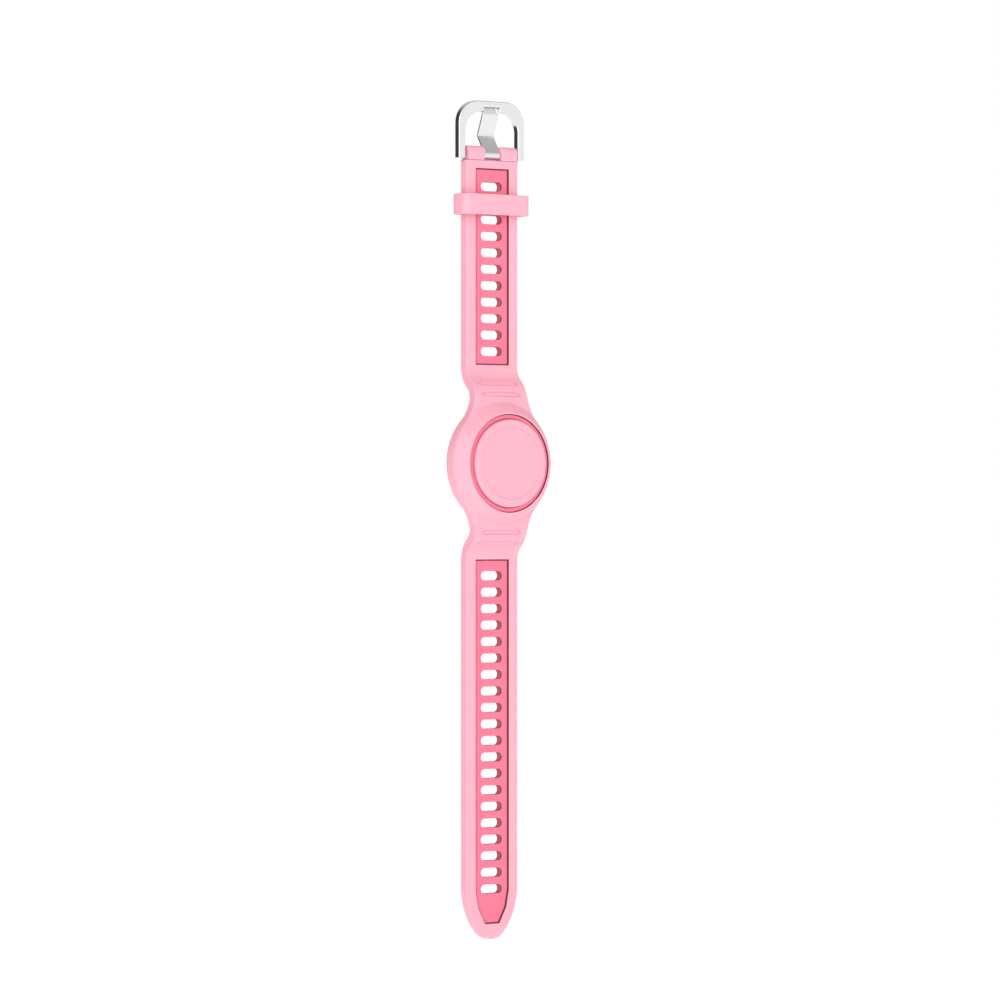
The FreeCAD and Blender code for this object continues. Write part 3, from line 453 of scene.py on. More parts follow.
def tail_outline(length):
    """A station on the tail's rounded end, this far along it from where the strap's side starts to turn."""
    turn = length / TAIL_SIDE
    if turn <= TAIL_MEETING:
        centre, radius = (HALF - TAIL_SIDE, ROUND_START), TAIL_SIDE
    else:
        turn = TAIL_MEETING + (length - TAIL_MEETING * TAIL_SIDE) / NOSE_RADIUS
        centre, radius = (0.0, TAIL_END - NOSE_RADIUS), NOSE_RADIUS
    turn = min(turn, math.pi / 2)
    out = (math.cos(turn), math.sin(turn))
    return centre[0] + radius * out[0], -(centre[1] + radius * out[1]), -out[0], out[1]


def recess_half(z):
    """Half-width of the tail's recess, which tapers to a blunt point."""
    return float(np.interp(abs(z), [SHOULDER, WAIST, TAIL_INLAY_END], [INLAY_HALF, WAIST_HALF, POINT_HALF]))


def strap_rows(first, cells, last):
    """Z places along a slotted stretch: the recess's end, the rows of each slot's cell, and the far end."""
    low = SLOT_START - SLOT_PITCH / 2
    rows = [first, (first + low) / 2]
    rows += [low + SLOT_PITCH * step / CELL_ROWS for step in range(cells * CELL_ROWS + 1)]
    return rows + last


BUCKLE_CELLS = 11
TAIL_CELLS = 20
BUCKLE_LAST_CELL = SLOT_START + SLOT_PITCH * (BUCKLE_CELLS - 0.5)
TAIL_LAST_CELL = SLOT_START + SLOT_PITCH * (TAIL_CELLS - 0.5)
BUCKLE_FAR_ROWS = list(np.linspace(BUCKLE_LAST_CELL, BUCKLE_INLAY_END, 4)[1:])
TAIL_FAR_ROWS = list(np.linspace(TAIL_LAST_CELL, WAIST, 4)[1:])
TAIL_FAR_ROWS += list(np.linspace(WAIST, TAIL_INLAY_END, 7)[1:])
BUCKLE_ROWS = strap_rows(BUCKLE_INLAY_START, BUCKLE_CELLS, BUCKLE_FAR_ROWS)
TAIL_ROWS = [-z for z in strap_rows(TAIL_INLAY_START, TAIL_CELLS, TAIL_FAR_ROWS)]
STRAIGHT_TAIL_ROWS = [z for z in TAIL_ROWS[1:] if abs(z) <= ROUND_START]
END_ROWS = list(np.linspace(BUCKLE_INLAY_END + RIM, STRAP_STOP, 7))


def full_width(_):
    return INLAY_HALF


def recess_line(rows, width_at):
    """Right half of a recess's outline, from the middle of its pod end round to the middle of its far end."""
    near, far = [[(x * width_at(z) / INLAY_HALF, z) for x in CELL_COLUMNS] for z in (rows[0], rows[-1])]
    return near + [(width_at(z), z) for z in rows[1:-1]] + far[::-1]


def outward(line, distance):
    """The line moved by this distance, with its ends kept on the middle line."""
    moved = mitred(line, distance)
    moved[0], moved[-1] = (0.0, moved[0][1]), (0.0, moved[-1][1])
    return moved


def outer_rim_line(line, side):
    """The recess line moved out by the rim's width, with the neck's columns where it meets a neck."""
    moved = outward(line, -side * RIM)
    count = len(NECK_COLUMNS)
    moved[:count] = [(x, moved[0][1]) for x in NECK_COLUMNS]
    if side > 0:
        moved[-count:] = [(x, moved[-1][1]) for x in NECK_COLUMNS[::-1]]
    return moved


def ruled(inner, outer, profile):
    """A row for each (share of the way from the inner line to the outer, up) of the profile."""
    rows = []
    for share, up in profile:
        line = [between(a, b, share) for a, b in zip(inner, outer)]
        rows.append([(x, up, z) for x, z in line])
    return rows


# (share of the rim's width, up) from the strap's face, over its rolled edge and down into the recess
RIM_DROPS = [(1.0, 0.0), (0.5, 0.01), (0.2, 0.04), (0.05, 0.1), (0.0, 0.2)]
RIM_PROFILE = [(share, THICK - drop) for share, drop in RIM_DROPS] + [(0.0, INLAY_FLOOR)]


# steps round a quarter of a slot, so that it has as many points as a quarter of its cell
SLOT_TURNS = len(CELL_COLUMNS) - 4 + CELL_ROWS // 2


def slot_quarter(grow):
    """A quarter of the slot's outline, grown by this much, from the middle of its long side to its tip."""
    radius = SLOT_HALF_WIDTH + grow
    points = [(x, radius) for x in CELL_COLUMNS[:4]]
    turns = quarter_turn(SLOT_TURNS)[1:]
    return points + [(SLOT_REACH + radius * math.sin(turn), radius * math.cos(turn)) for turn in turns]


def cell_quarter():
    """A quarter of the cell's border, with as many points as the slot's."""
    half = SLOT_PITCH / 2
    points = [(x, half) for x in CELL_COLUMNS]
    return points + [(INLAY_HALF, half * step / (CELL_ROWS // 2)) for step in (2, 1, 0)]


def full_ring(quarter):
    """A closed ring from its first quarter."""
    right = quarter + [(x, -z) for x, z in quarter[-2::-1]]
    return right + [(-x, z) for x, z in right[-2:0:-1]]


def cell_ring(share, grow, centre, width_at):
    """A ring between the slot's outline (share 0) and the cell's border (share 1)."""
    slot, border = full_ring(slot_quarter(grow)), full_ring(cell_quarter())
    ring = []
    for (sx, sz), (bx, bz) in zip(slot, border):
        bz += centre
        bx *= width_at(bz) / INLAY_HALF
        ring.append((sx + (bx - sx) * share, sz + centre + (bz - sz - centre) * share))
    return ring


def slot_centres(side, count):
    return [side * (SLOT_START + SLOT_PITCH * step) for step in range(count)]


def across(places, up, width_at):
    """Rows across a recess, at one height."""
    return [[(x * width_at(z) / INLAY_HALF, up, z) for x in both_ways(CELL_COLUMNS)] for z in places]


def add_cell(shell, centre, face, floor, edge, steps, wall_shade_kind):
    """One slot's cell, from its face round the slot's mouth and wall to its floor. face and floor are
    (up, width_at), and edge is the mouth's rounding."""
    inwards = 1 if floor[0] > face[0] else -1
    rings = [[(x, face[0], z) for x, z in cell_ring(share, edge, centre, face[1])] for share in (1, 0.5)]
    for inset, drop in rolled(edge, steps):
        rings.append([(x, face[0] + inwards * drop, z) for x, z in cell_ring(0, inset, centre, face[1])])
    shell.grid(rings, LIGHT, wrap=True)
    far = [[(x, floor[0], z) for x, z in cell_ring(share, 0, centre, floor[1])] for share in (0, 1)]
    # the slot's wall takes the painted-shade material
    shell.grid([rings[-1], far[0]], wall_shade_kind, wrap=True)
    shell.grid(far, LIGHT, wrap=True)


def add_slotted_side(shell, side, rows, cells, width_at):
    """The strap's back and the recess's floor, between the perimeter's inner lines, for one side."""
    for centre in slot_centres(side, cells):
        add_cell(shell, centre, (0.0, full_width), (INLAY_FLOOR, width_at), BACK_RIM, 4, SLOT_SHADE)
    last_cell = SLOT_START + SLOT_PITCH * (cells - 0.5)
    beyond = [z for z in rows if abs(z) >= last_cell - NEARLY]
    for places in (rows[:3], beyond):
        shell.grid(across(places, INLAY_FLOOR, width_at))
    straight_end = abs(beyond[0]) if side > 0 else ROUND_START
    inside = [z for z in rows[2:] if abs(z) <= straight_end + NEARLY]
    shell.mirrored_grid([[(x, 0.0, z) for x in OUTER_COLUMNS] for z in inside])
    first = [side * NECK_END_OF[side]] + list(rows[1:3])
    shell.grid([[(x, 0.0, z) for x in both_ways(BACK_COLUMNS)] for z in first])


def straight_station(z):
    return HALF, z, -1.0, 0.0


def neck_station(z):
    if z >= FILLET_CENTRE[1]:
        return straight_station(z)
    dx, dz = side_reach(z, ROUNDING) - FILLET_CENTRE[0], z - FILLET_CENTRE[1]
    size = math.hypot(dx, dz)
    dx, dz = dx / size, dz / size
    return FILLET_CENTRE[0] + NECK_FILLET * dx, FILLET_CENTRE[1] + NECK_FILLET * dz, dx, dz


def fan_stations():
    """Outline stations beside the fan between the neck's cut and the pod, on the right, above the middle."""
    low = ring_crossing(1.0)
    return [neck_station(NECK_CUT + (low - NECK_CUT) * i / FAN_ROWS) for i in range(FAN_ROWS + 1)]


def pod_stations():
    """Outline stations down the pod's right side, between its two necks."""
    stations = []
    for angle in SIDE_ANGLES:
        out_x, out_z = math.cos(angle), math.sin(angle)
        stations.append((POD_RADIUS * out_x, POD_RADIUS * out_z, -out_x, -out_z))
    return stations


def flipped(stations):
    """The same stations below the middle, in the order that carries on down the band."""
    return [(x, -z, nx, -nz) for x, z, nx, nz in stations[::-1]]


def tail_stations(rim):
    """Stations beside the tail's recess, spread round the rounded end as the recess's own line is."""
    stations = [straight_station(z) for z in STRAIGHT_TAIL_ROWS]
    rest = rim[len(CELL_COLUMNS) + len(STRAIGHT_TAIL_ROWS) - 1 :]
    steps = [math.dist(a, b) for a, b in zip(rest, rest[1:])]
    total, done = sum(steps), 0.0
    lead = ROUND_START - abs(STRAIGHT_TAIL_ROWS[-1])
    for step in steps:
        done += step
        along = done / total * (lead + TAIL_OUTLINE) - lead
        stations.append(straight_station(-ROUND_START - along) if along < 0 else tail_outline(along))
    return stations


def knuckle_ramp(z):
    """The strap's front swells into the knuckle."""
    share = min(max((z - RAMP_START) / (RAMP_END - RAMP_START), 0), 1)
    return THICK + (KNUCKLE_HIGH.y - THICK) * share * share * (3 - 2 * share)


def edge_strips(tail):
    """The rounded edge down the right side, from the buckle's end to the tail's tip, one strip a station."""
    stations = [straight_station(z) for z in END_ROWS[::-1] + BUCKLE_ROWS[-2:0:-1]]
    stations += [neck_station(z) for z in neck_rows_for(1)]
    stations += fan_stations()[1:] + pod_stations()[1:] + flipped(fan_stations())[1:]
    stations += flipped([neck_station(z) for z in neck_rows_for(-1)])[1:]
    strips = [station_strip(station) for station in stations + tail]
    for strip in strips[: len(END_ROWS)]:
        for index, (x, up, z) in enumerate(strip[: ROUNDING_STEPS + 1]):
            strip[index] = (x, up + knuckle_ramp(z) - THICK, z)
    return strips


def add_margins(shell, rim, edges):
    """The strap's front between a recess's rim and the rounded edge."""
    rows = []
    for point, edge in zip(rim, edges):
        line = [between(point, edge, share) for share in MARGIN_SHARES]
        rows.append([(x, THICK, z) for x, z in line])
    shell.mirrored_grid(rows)


def outer_row(edge, inner_z):
    """Points on the strap's back from the cells' border to the rounded edge."""
    line = [between((INLAY_HALF, inner_z), edge, share) for share in OUTER_SHARES]
    return [(x, 0.0, z) for x, z in line]


def add_tail_back(shell, edges):
    """The tail's back, where its sides turn in and beyond the last slot."""
    straight = len(STRAIGHT_TAIL_ROWS) - 1
    last = len([z for z in TAIL_ROWS[1:] if abs(z) <= TAIL_LAST_CELL + NEARLY]) - 1
    shell.mirrored_grid([outer_row(edges[i], TAIL_ROWS[i + 1]) for i in range(straight, last + 1)])
    right = outer_row(edges[last], -TAIL_LAST_CELL)
    left = [(-x, up, z) for x, up, z in right[::-1]]
    middle = [(x, 0.0, -TAIL_LAST_CELL) for x in both_ways(CELL_COLUMNS)]
    shares = [x / BACK_COLUMNS[-1] for x in both_ways(BACK_COLUMNS)]
    beyond = [[(share * x, 0.0, z) for share in shares] for x, z in edges[last + 1 :]]
    shell.grid([left[:-1] + middle + right[1:], *beyond])


def add_neck(shell, side, first_columns, height):
    """One face of a neck, from its strap down to the pod. The flex grooves' walls get painted shade, a darker
    pink.
    """
    rows = []
    for index, z in enumerate(neck_rows_for(side)):
        columns = first_columns if index == 0 else FRONT_COLUMNS
        rows.append([(x / FRONT_COLUMNS[-1] * side_reach(z, ROUNDING), z) for x in both_ways(columns)])
    rows += fan_points()[1:]
    start = len(shell.faces)
    shell.grid([[(x, height(x, side * z), side * z) for x, z in row] for row in rows])
    if height is front_height:
        for index in range(start, len(shell.faces)):
            depths = [groove_depth(shell.points[v][0], shell.points[v][2]) for v in shell.faces[index]]
            if max(depths) - min(depths) > GROOVE_STEEP:
                shell.kinds[index] = GROOVE_SHADE


def close_strap_end(shell, strip):
    """The flat face that ends the strap under the knuckle."""
    left = [(-x, up, z) for x, up, z in strip]
    front = [(x, knuckle_ramp(STRAP_STOP), STRAP_STOP) for x in both_ways(FRONT_COLUMNS)[1:-1]]
    back = [(x, 0.0, STRAP_STOP) for x in both_ways(BACK_COLUMNS)[1:-1]]
    shell.cap(strip + back[::-1] + left[::-1] + front)


def build_band():
    """The whole light silicone moulding as one closed surface."""
    shell = Shell()
    rims = []
    for side, rows, width_at in ((1, BUCKLE_ROWS, full_width), (-1, TAIL_ROWS, recess_half)):
        inner = recess_line(rows, width_at)
        rims.append(outer_rim_line(inner, side))
        # the recess's rolled rim and wall get painted shade, a dark pink line round the inlay
        shell.mirrored_grid(ruled(inner, rims[-1], RIM_PROFILE), SEAM_SHADE)
    tail = tail_stations(rims[1])
    tail_edges = [(x + nx * ROUNDING, z + nz * ROUNDING) for x, z, nx, nz in tail]
    strips = edge_strips(tail)
    shell.mirrored_grid(strips)

    first = len(CELL_COLUMNS) - 1
    buckle_rim, tail_rim = rims[0][first:-first], rims[1][first:]
    add_margins(shell, buckle_rim, [(HALF - ROUNDING, z) for _, z in buckle_rim])
    add_margins(shell, tail_rim, [(HALF - ROUNDING, tail_rim[0][1])] + tail_edges)
    shell.grid([[(x, knuckle_ramp(z), z) for x in both_ways(FRONT_COLUMNS)] for z in END_ROWS])

    add_slotted_side(shell, 1, BUCKLE_ROWS, BUCKLE_CELLS, full_width)
    add_slotted_side(shell, -1, TAIL_ROWS, TAIL_CELLS, recess_half)
    buckle_back = [z for z in BUCKLE_ROWS[:-1] if z >= BUCKLE_LAST_CELL - NEARLY] + END_ROWS
    shell.grid([[(x, 0.0, z) for x in both_ways(BACK_COLUMNS)] for z in buckle_back])
    add_tail_back(shell, tail_edges)
    for side in (1, -1):
        add_neck(shell, side, FRONT_COLUMNS, front_height)
        add_neck(shell, side, BACK_COLUMNS, back_height)
    add_pod_rings(shell, pod_front_profile(), front_height, LIP_SHADE_SEGMENTS)
    add_pod_rings(shell, pod_back_profile(), back_height)
    close_strap_end(shell, strips[0])
    return shell


LIP_SHADE_SEGMENTS = (10, 11)  # segments of the front's profile that lie in the joint round the module, which get painted shade


def pod_front_profile():
    """(radius, up) from the pod's outline over its lip into the pocket. None follows the pod's surface."""
    outside = [(r, None) for r in (RING_RADIUS, 17.4, 17.0, 16.6, 16.2, 15.8, 15.5)]
    crest = front_flank(RIM_RADIUS + 0.1)
    lip = [(RIM_RADIUS + 0.1, crest - 0.02), (RIM_RADIUS - 0.02, crest + 0.04)]
    lip += [(POCKET_RADIUS + 0.14, crest + 0.03), (POCKET_RADIUS + 0.05, crest - 0.05)]
    return outside + lip + [(POCKET_RADIUS, up) for up in (crest - 0.3, crest - 2, POCKET_SPLIT)]


def pod_back_profile():
    """(radius, up) from the pod's outline round the push-out opening and over the pocket's floor."""
    radii = (RING_RADIUS, 17.2, 16.5, 15.8, 15.2, 14.8, 14.5, 14.3, 14.1, 13.8, 13.0, 11.5, 10.2)
    edge, turns = 0.3, (0, 0.39, 0.79, 1.18, math.pi / 2)
    mouth = [(OPENING_RADIUS + edge * (1 - math.sin(t)), edge * (1 - math.cos(t))) for t in turns]
    mouth += [(radius, POCKET_FLOOR - up) for radius, up in mouth[::-1]]
    corner = [(12.0, 0), (POCKET_RADIUS - 0.3, 0), (POCKET_RADIUS - 0.1, 0.1), (POCKET_RADIUS, 0.3)]
    floor = [(radius, POCKET_FLOOR + up) for radius, up in corner]
    return [(r, None) for r in radii] + mouth + floor + [(POCKET_RADIUS, POCKET_SPLIT)]


def add_pod_rings(shell, profile, height, seam=()):
    """One face of the pod, as a profile turned through the angles of the necks' and the outline's points."""
    top = [math.atan2(z, x) for x, z in fan_points()[-1]][::-1]
    right = list(SIDE_ANGLES[1:-1])[::-1]
    angles = top + [math.pi - a for a in right[::-1]] + [-a for a in top[::-1]] + right
    rings = []
    for radius, up in profile:
        places = [(radius * math.cos(a), radius * math.sin(a)) for a in angles]
        rings.append([(x, height(x, z) if up is None else up, z) for x, z in places])
    for index in range(len(rings) - 1):
        # the segments in the joint round the module get painted shade
        shell.grid(rings[index : index + 2], SEAM_SHADE if index in seam else LIGHT, wrap=True)


def vertex_normals(points, faces):
    """Area-weighted normals: flat faces keep their own direction, and the roundings turn between them."""
    normals = np.zeros_like(points)
    for face in faces:
        corner = points[face]
        area = np.zeros(3)
        for i in range(1, len(face) - 1):
            area += np.cross(corner[i] - corner[0], corner[i + 1] - corner[0])
        for v in face:
            normals[v] += area
    length = np.linalg.norm(normals, axis=1, keepdims=True)
    return normals / np.maximum(length, 1e-20)


def cut_into_pieces(whole, cuts, materials):
    """Cuts the band's one mesh into pieces by the height of its faces. The pieces keep the whole mesh's
    normals, so no seam shows between them, and each cut is closed with a flat face."""
    mesh = whole.data
    count = len(mesh.vertices)
    points = np.zeros(count * 3)
    mesh.vertices.foreach_get("co", points)
    points = points.reshape(-1, 3)
    faces = [list(p.vertices) for p in mesh.polygons]
    kinds = [p.material_index for p in mesh.polygons]
    normals = vertex_normals(points, faces)
    middles = np.array([points[f][:, 2].mean() / MM for f in faces])
    made = {}
    for name, low, high in cuts:
        chosen = np.nonzero((middles > low) & (middles < high))[0]
        used = sorted({v for i in chosen for v in faces[i]})
        number = {v: i for i, v in enumerate(used)}
        own_faces = [[number[v] for v in faces[i]] for i in chosen]
        own_kinds = [kinds[i] for i in chosen]
        own_points = points[used]
        own_normals = [normals[v] for v in used]
        corner_normals = [own_normals[v] for face in own_faces for v in face]
        for loop in boundary_loops(own_faces):
            loop_z = own_points[loop][:, 2].mean() / MM
            up = 1.0 if abs(loop_z - high) < abs(loop_z - low) else -1.0
            own_faces.append(loop)
            own_kinds.append(LIGHT)
            corner_normals += [np.array([0.0, 0.0, up])] * len(loop)
        piece_mesh = bpy.data.meshes.new(name)
        piece_mesh.from_pydata([tuple(p) for p in own_points], [], own_faces)
        for material in materials:
            piece_mesh.materials.append(material)
        piece_mesh.polygons.foreach_set("material_index", own_kinds)
        piece_mesh.polygons.foreach_set("use_smooth", [True] * len(own_faces))
        piece_mesh.normals_split_custom_set([tuple(n) for n in corner_normals])
        piece = bpy.data.objects.new(name, piece_mesh)
        bpy.context.scene.collection.objects.link(piece)
        made[name] = piece
    bpy.data.objects.remove(whole)
    return made


def boundary_loops(faces):
    """Closed loops of the edges that belong to one face only, wound to face outwards."""
    edges = {}
    for face in faces:
        for i, v in enumerate(face):
            w = face[(i + 1) % len(face)]
            if (w, v) in edges:
                del edges[(w, v)]
            else:
                edges[(v, w)] = True
    following = {w: v for v, w in edges}
    loops = []
    while following:
        start, v = next(iter(following.items()))
        loop = [start]
        del following[start]
        while v != start:
            loop.append(v)
            v = following.pop(v)
        loops.append(loop)
    return loops


# ---- inlays ----------------------------------------------------------------------------------------


def build_inlay(side, rows, cells, width_at):
    """The darker strip in the strap's recess, slotted like the strap, as one closed surface."""
    shell = Shell()
    edge = INLAY_ROUNDING
    inset = INLAY_GAP + edge

    def width(z):
        return width_at(z) - INLAY_GAP - edge

    for centre in slot_centres(side, cells):
        add_cell(shell, centre, (INLAY_TOP, width), (INLAY_FLOOR, width), edge, 3, INLAY_SLOT_SHADE)
    ends = list(rows)
    ends[0] += side * inset
    ends[-1] -= side * inset
    last_cell = SLOT_START + SLOT_PITCH * (cells - 0.5)
    for places in (ends[:3], [z for z in ends if abs(z) >= last_cell - NEARLY]):
        for up in (INLAY_TOP, INLAY_FLOOR):
            shell.grid(across(places, up, width))
    line = recess_line(ends, width)
    profile = [(math.sin(turn), INLAY_TOP - edge * (1 - math.cos(turn))) for turn in quarter_turn(3)]
    profile += [(1, INLAY_FLOOR + edge), (0, INLAY_FLOOR)]
    shell.mirrored_grid(ruled(line, outward(line, -side * edge), profile))
    return shell


# ---- round and swept parts -------------------------------------------------------------------------

TURN_STEPS = 160


def lathe(name, profile, materials, kinds=None, sharp_degrees=50):
    """A (radius, up) profile turned about the pod's axis."""
    shell = Shell()
    angles = [2 * math.pi * step / TURN_STEPS for step in range(TURN_STEPS)]
    rings = [[(r * math.cos(a), up, r * math.sin(a)) for a in angles] for r, up in profile]
    for index in range(len(rings) - 1):
        shell.grid(rings[index : index + 2], kinds[index] if kinds else 0, wrap=True)
    return make_piece(name, shell, materials, sharp_degrees)


def prism(shell, loop, low, high, rounding, place, steps=4):
    """A closed loop drawn out from low to high, with its end edges rounded. place maps (a, b, along)."""
    roll = rolled(rounding, steps)
    rings = []
    for start, away, order in ((low, 1, roll), (high, -1, roll[::-1])):
        for inset, drop in order:
            ring = mitred(loop, inset, closed=True)
            rings.append([place(a, b, start + away * drop) for a, b in ring])
    shell.grid(rings, 0, wrap=True)
    shell.cap(rings[0])
    shell.cap(rings[-1])


def build_knuckle():
    """Two rolled lugs at the strap's end, each side of the tongue."""
    shell = Shell()
    end, top = KNUCKLE_HIGH.z, KNUCKLE_HIGH.y
    bottom, turn, hidden = 0.1, 1.85, STRAP_STOP - 0.9
    profile = [(hidden, 0.5), (hidden + 0.5, bottom)]
    profile += rounded((end, bottom), turn, (hidden, bottom), (end, top), 8)
    profile += rounded((end, top), turn, (end, bottom), (hidden, top), 8)
    profile += [(z, knuckle_ramp(z) - 0.01) for z in np.linspace(RAMP_END, hidden, 9)]
    inner, outer, edge = 3.2, 9.1, 0.35
    for low, high in ((inner, outer), (-outer, -inner)):
        prism(shell, profile, low, high, edge, lambda a, b, along: (along, b, a))
    return shell


def build_keeper():
    """A soft loop of flat section round the strap, with rounded edges."""
    wall, corner, edge, spacing = 1.0, 2.2, 0.22, 12
    half, low, high = KEEPER_HIGH.x, KEEPER_LOW.y, KEEPER_HIGH.y
    outline = [(half, low), (half, high), (-half, high), (-half, low)]
    arcs = [rounded(outline[i], corner, outline[i - 1], outline[(i + 1) % 4], 10) for i in range(4)]
    path = []
    for arc, following in zip(arcs, arcs[1:] + arcs[:1]):
        start, finish = Vector(arc[-1]), Vector(following[0])
        path += arc + [tuple(start.lerp(finish, share / spacing)) for share in range(1, spacing)]
    length = KEEPER_HIGH.z - KEEPER_LOW.z
    section = softened([(0, 0, edge), (0, length, edge), (wall, length, edge), (wall, 0, edge)], steps=5)
    rings = []
    for depth, along in section:
        rings.append([(x, up, KEEPER_LOW.z + along) for x, up in mitred(path, depth, closed=True)])
    shell = Shell()
    shell.grid([*rings, rings[0]], wrap=True)
    return shell


def strip_line():
    """The tongue's middle line as (z, up): round the spring bar, down the dip and up to its tip."""
    centre, radius = Vector((93.6, 1.9)), 1.15
    dip, crest, tip = Vector((99.6, -0.4)), (105.9, 2.1), (107.8, 1.62)
    towards = dip - centre
    leave = math.atan2(towards.y, towards.x) - math.asin(radius / towards.length) + math.pi / 2
    wrap = math.radians(288)
    line = []
    for step in range(41):
        angle = leave + wrap * (1 - step / 40)
        line.append((centre.x + radius * math.cos(angle), centre.y + radius * math.sin(angle)))
    line += rounded(tuple(dip), 1.2, line[-1], crest, 10)
    line += rounded(crest, 0.8, tuple(dip), tip, 10)
    line.append(tip)
    return line


def build_tongue():
    line = strip_line()
    half_width, half_thick, edge = 3.0, 0.3, 0.14
    shell = Shell()
    corners = [(-half_width, -half_thick, edge), (half_width, -half_thick, edge)]
    corners += [(half_width, half_thick, edge), (-half_width, half_thick, edge)]
    section = softened(corners, steps=3)
    rings = []
    for index, (z, up) in enumerate(line):
        before, after = line[max(index - 1, 0)], line[min(index + 1, len(line) - 1)]
        dz, du = after[0] - before[0], after[1] - before[1]
        size = math.hypot(dz, du)
        nz, nu = -du / size, dz / size
        rings.append([(x, up + nu * off, z + nz * off) for x, off in section])
    ends = []
    for ring, other in ((rings[0], rings[1]), (rings[-1], rings[-2])):
        middle = Vector((0, 0, 0))
        for p in ring:
            middle += Vector(p)
        middle /= len(ring)
        away = (Vector(ring[0]) - Vector(other[0])).normalized() * edge
        ends.append([tuple(Vector(p) + away - (Vector(p) - middle).normalized() * edge) for p in ring])
    rings = [ends[0]] + rings + [ends[1]]
    shell.grid(rings, 0, wrap=True)
    shell.cap(rings[0])
    shell.cap(rings[-1])
    return shell


def build_buckle():
    """A U of thick flat steel: arms on the spring bar, and a broad top bar with a rest for the tongue's tip."""
    outer_half, inner_half = BUCKLE_HIGH.x, 10.0
    arm_end, top, window = BUCKLE_LOW.z, BUCKLE_HIGH.z, 106.6
    low, high, edge, end_edge = BUCKLE_LOW.y, BUCKLE_HIGH.y, 0.3, 0.2
    lines = []
    for half, end, corner in ((outer_half, top, 7.0), (inner_half, window, 6.0)):
        start = arm_end + end_edge
        line = [(half, start), (half, start + 2), (half, end, corner), (-half, end, corner)]
        lines.append(softened([*line, (-half, start + 2), (-half, start)], steps=14))
    outer, inner = lines
    turns = [math.pi / 2 * step / 5 for step in range(6)]
    rings = []
    for line, sign, order in ((outer, 1, (-1, 1)), (inner, -1, (1, -1))):
        for face in order:
            sweep = turns[::-1] if face == order[0] else turns
            for turn in sweep:
                inset = edge * (1 - math.cos(turn))
                up = (high - edge + edge * math.sin(turn)) if face > 0 else (low + edge - edge * math.sin(turn))
                rings.append([(x, up, z) for x, z in mitred(line, sign * inset)])
    rings.append(rings[0])
    stations = [list(station) for station in zip(*rings)]
    for index, sign in ((0, 1), (-1, 1)):
        ring = stations[index]
        middle = Vector((sum(p[0] for p in ring), sum(p[1] for p in ring), 0)) / len(ring)
        for turn in (math.pi / 6, math.pi / 3, math.pi / 2):
            shrink, drop = end_edge * (1 - math.cos(turn)), end_edge * math.sin(turn)
            closer = []
            for x, up, z in ring:
                away = Vector((x - middle.x, up - middle.y, 0))
                away *= 1 - shrink / away.length
                closer.append((middle.x + away.x, middle.y + away.y, z - drop))
            stations.insert(0, closer) if index == 0 else stations.append(closer)
    shell = Shell()
    shell.grid(stations)
    shell.cap(stations[0][:-1])
    shell.cap(stations[-1][:-1])
    return shell


def cut_rest(piece):
    """Sinks the tongue's rest into the top bar's front."""
    rest_half, floor, rest_end = 3.1, 1.3, 108.2
    bpy.ops.mesh.primitive_cube_add(size=1)
    cutter = bpy.context.object
    low, high = Vector((-rest_half, floor, 105.6)), Vector((rest_half, BUCKLE_HIGH.y + 1, rest_end))
    middle, size = (low + high) / 2, high - low
    cutter.scale = (size.x * MM, size.y * MM, size.z * MM)
    cutter.location = (middle.x * MM, -middle.y * MM, middle.z * MM)
    modifier = piece.modifiers.new("Rest", "BOOLEAN")
    modifier.object = cutter
    modifier.solver = "EXACT"
    bpy.context.view_layer.objects.active = piece
    bpy.context.view_layer.update()
    while piece.modifiers[0].name != "Rest":
        piece.modifiers.move(len(piece.modifiers) - 1, 0)
    mesh = bpy.data.meshes.new_from_object(piece.evaluated_get(bpy.context.evaluated_depsgraph_get()))
    piece.modifiers.clear()
    piece.data = mesh
    bpy.data.objects.remove(cutter)
    return shade_by_area(piece, 35)


# ---- materials -------------------------------------------------------------------------------------


def srgb(red, green, blue):
    """An 8-bit sRGB colour as linear values."""
    linear = []
    for channel in (red, green, blue):
        c = channel / 255
        linear.append(c / 12.92 if c <= 0.04045 else ((c + 0.055) / 1.055) ** 2.4)
    return (*linear, 1.0)


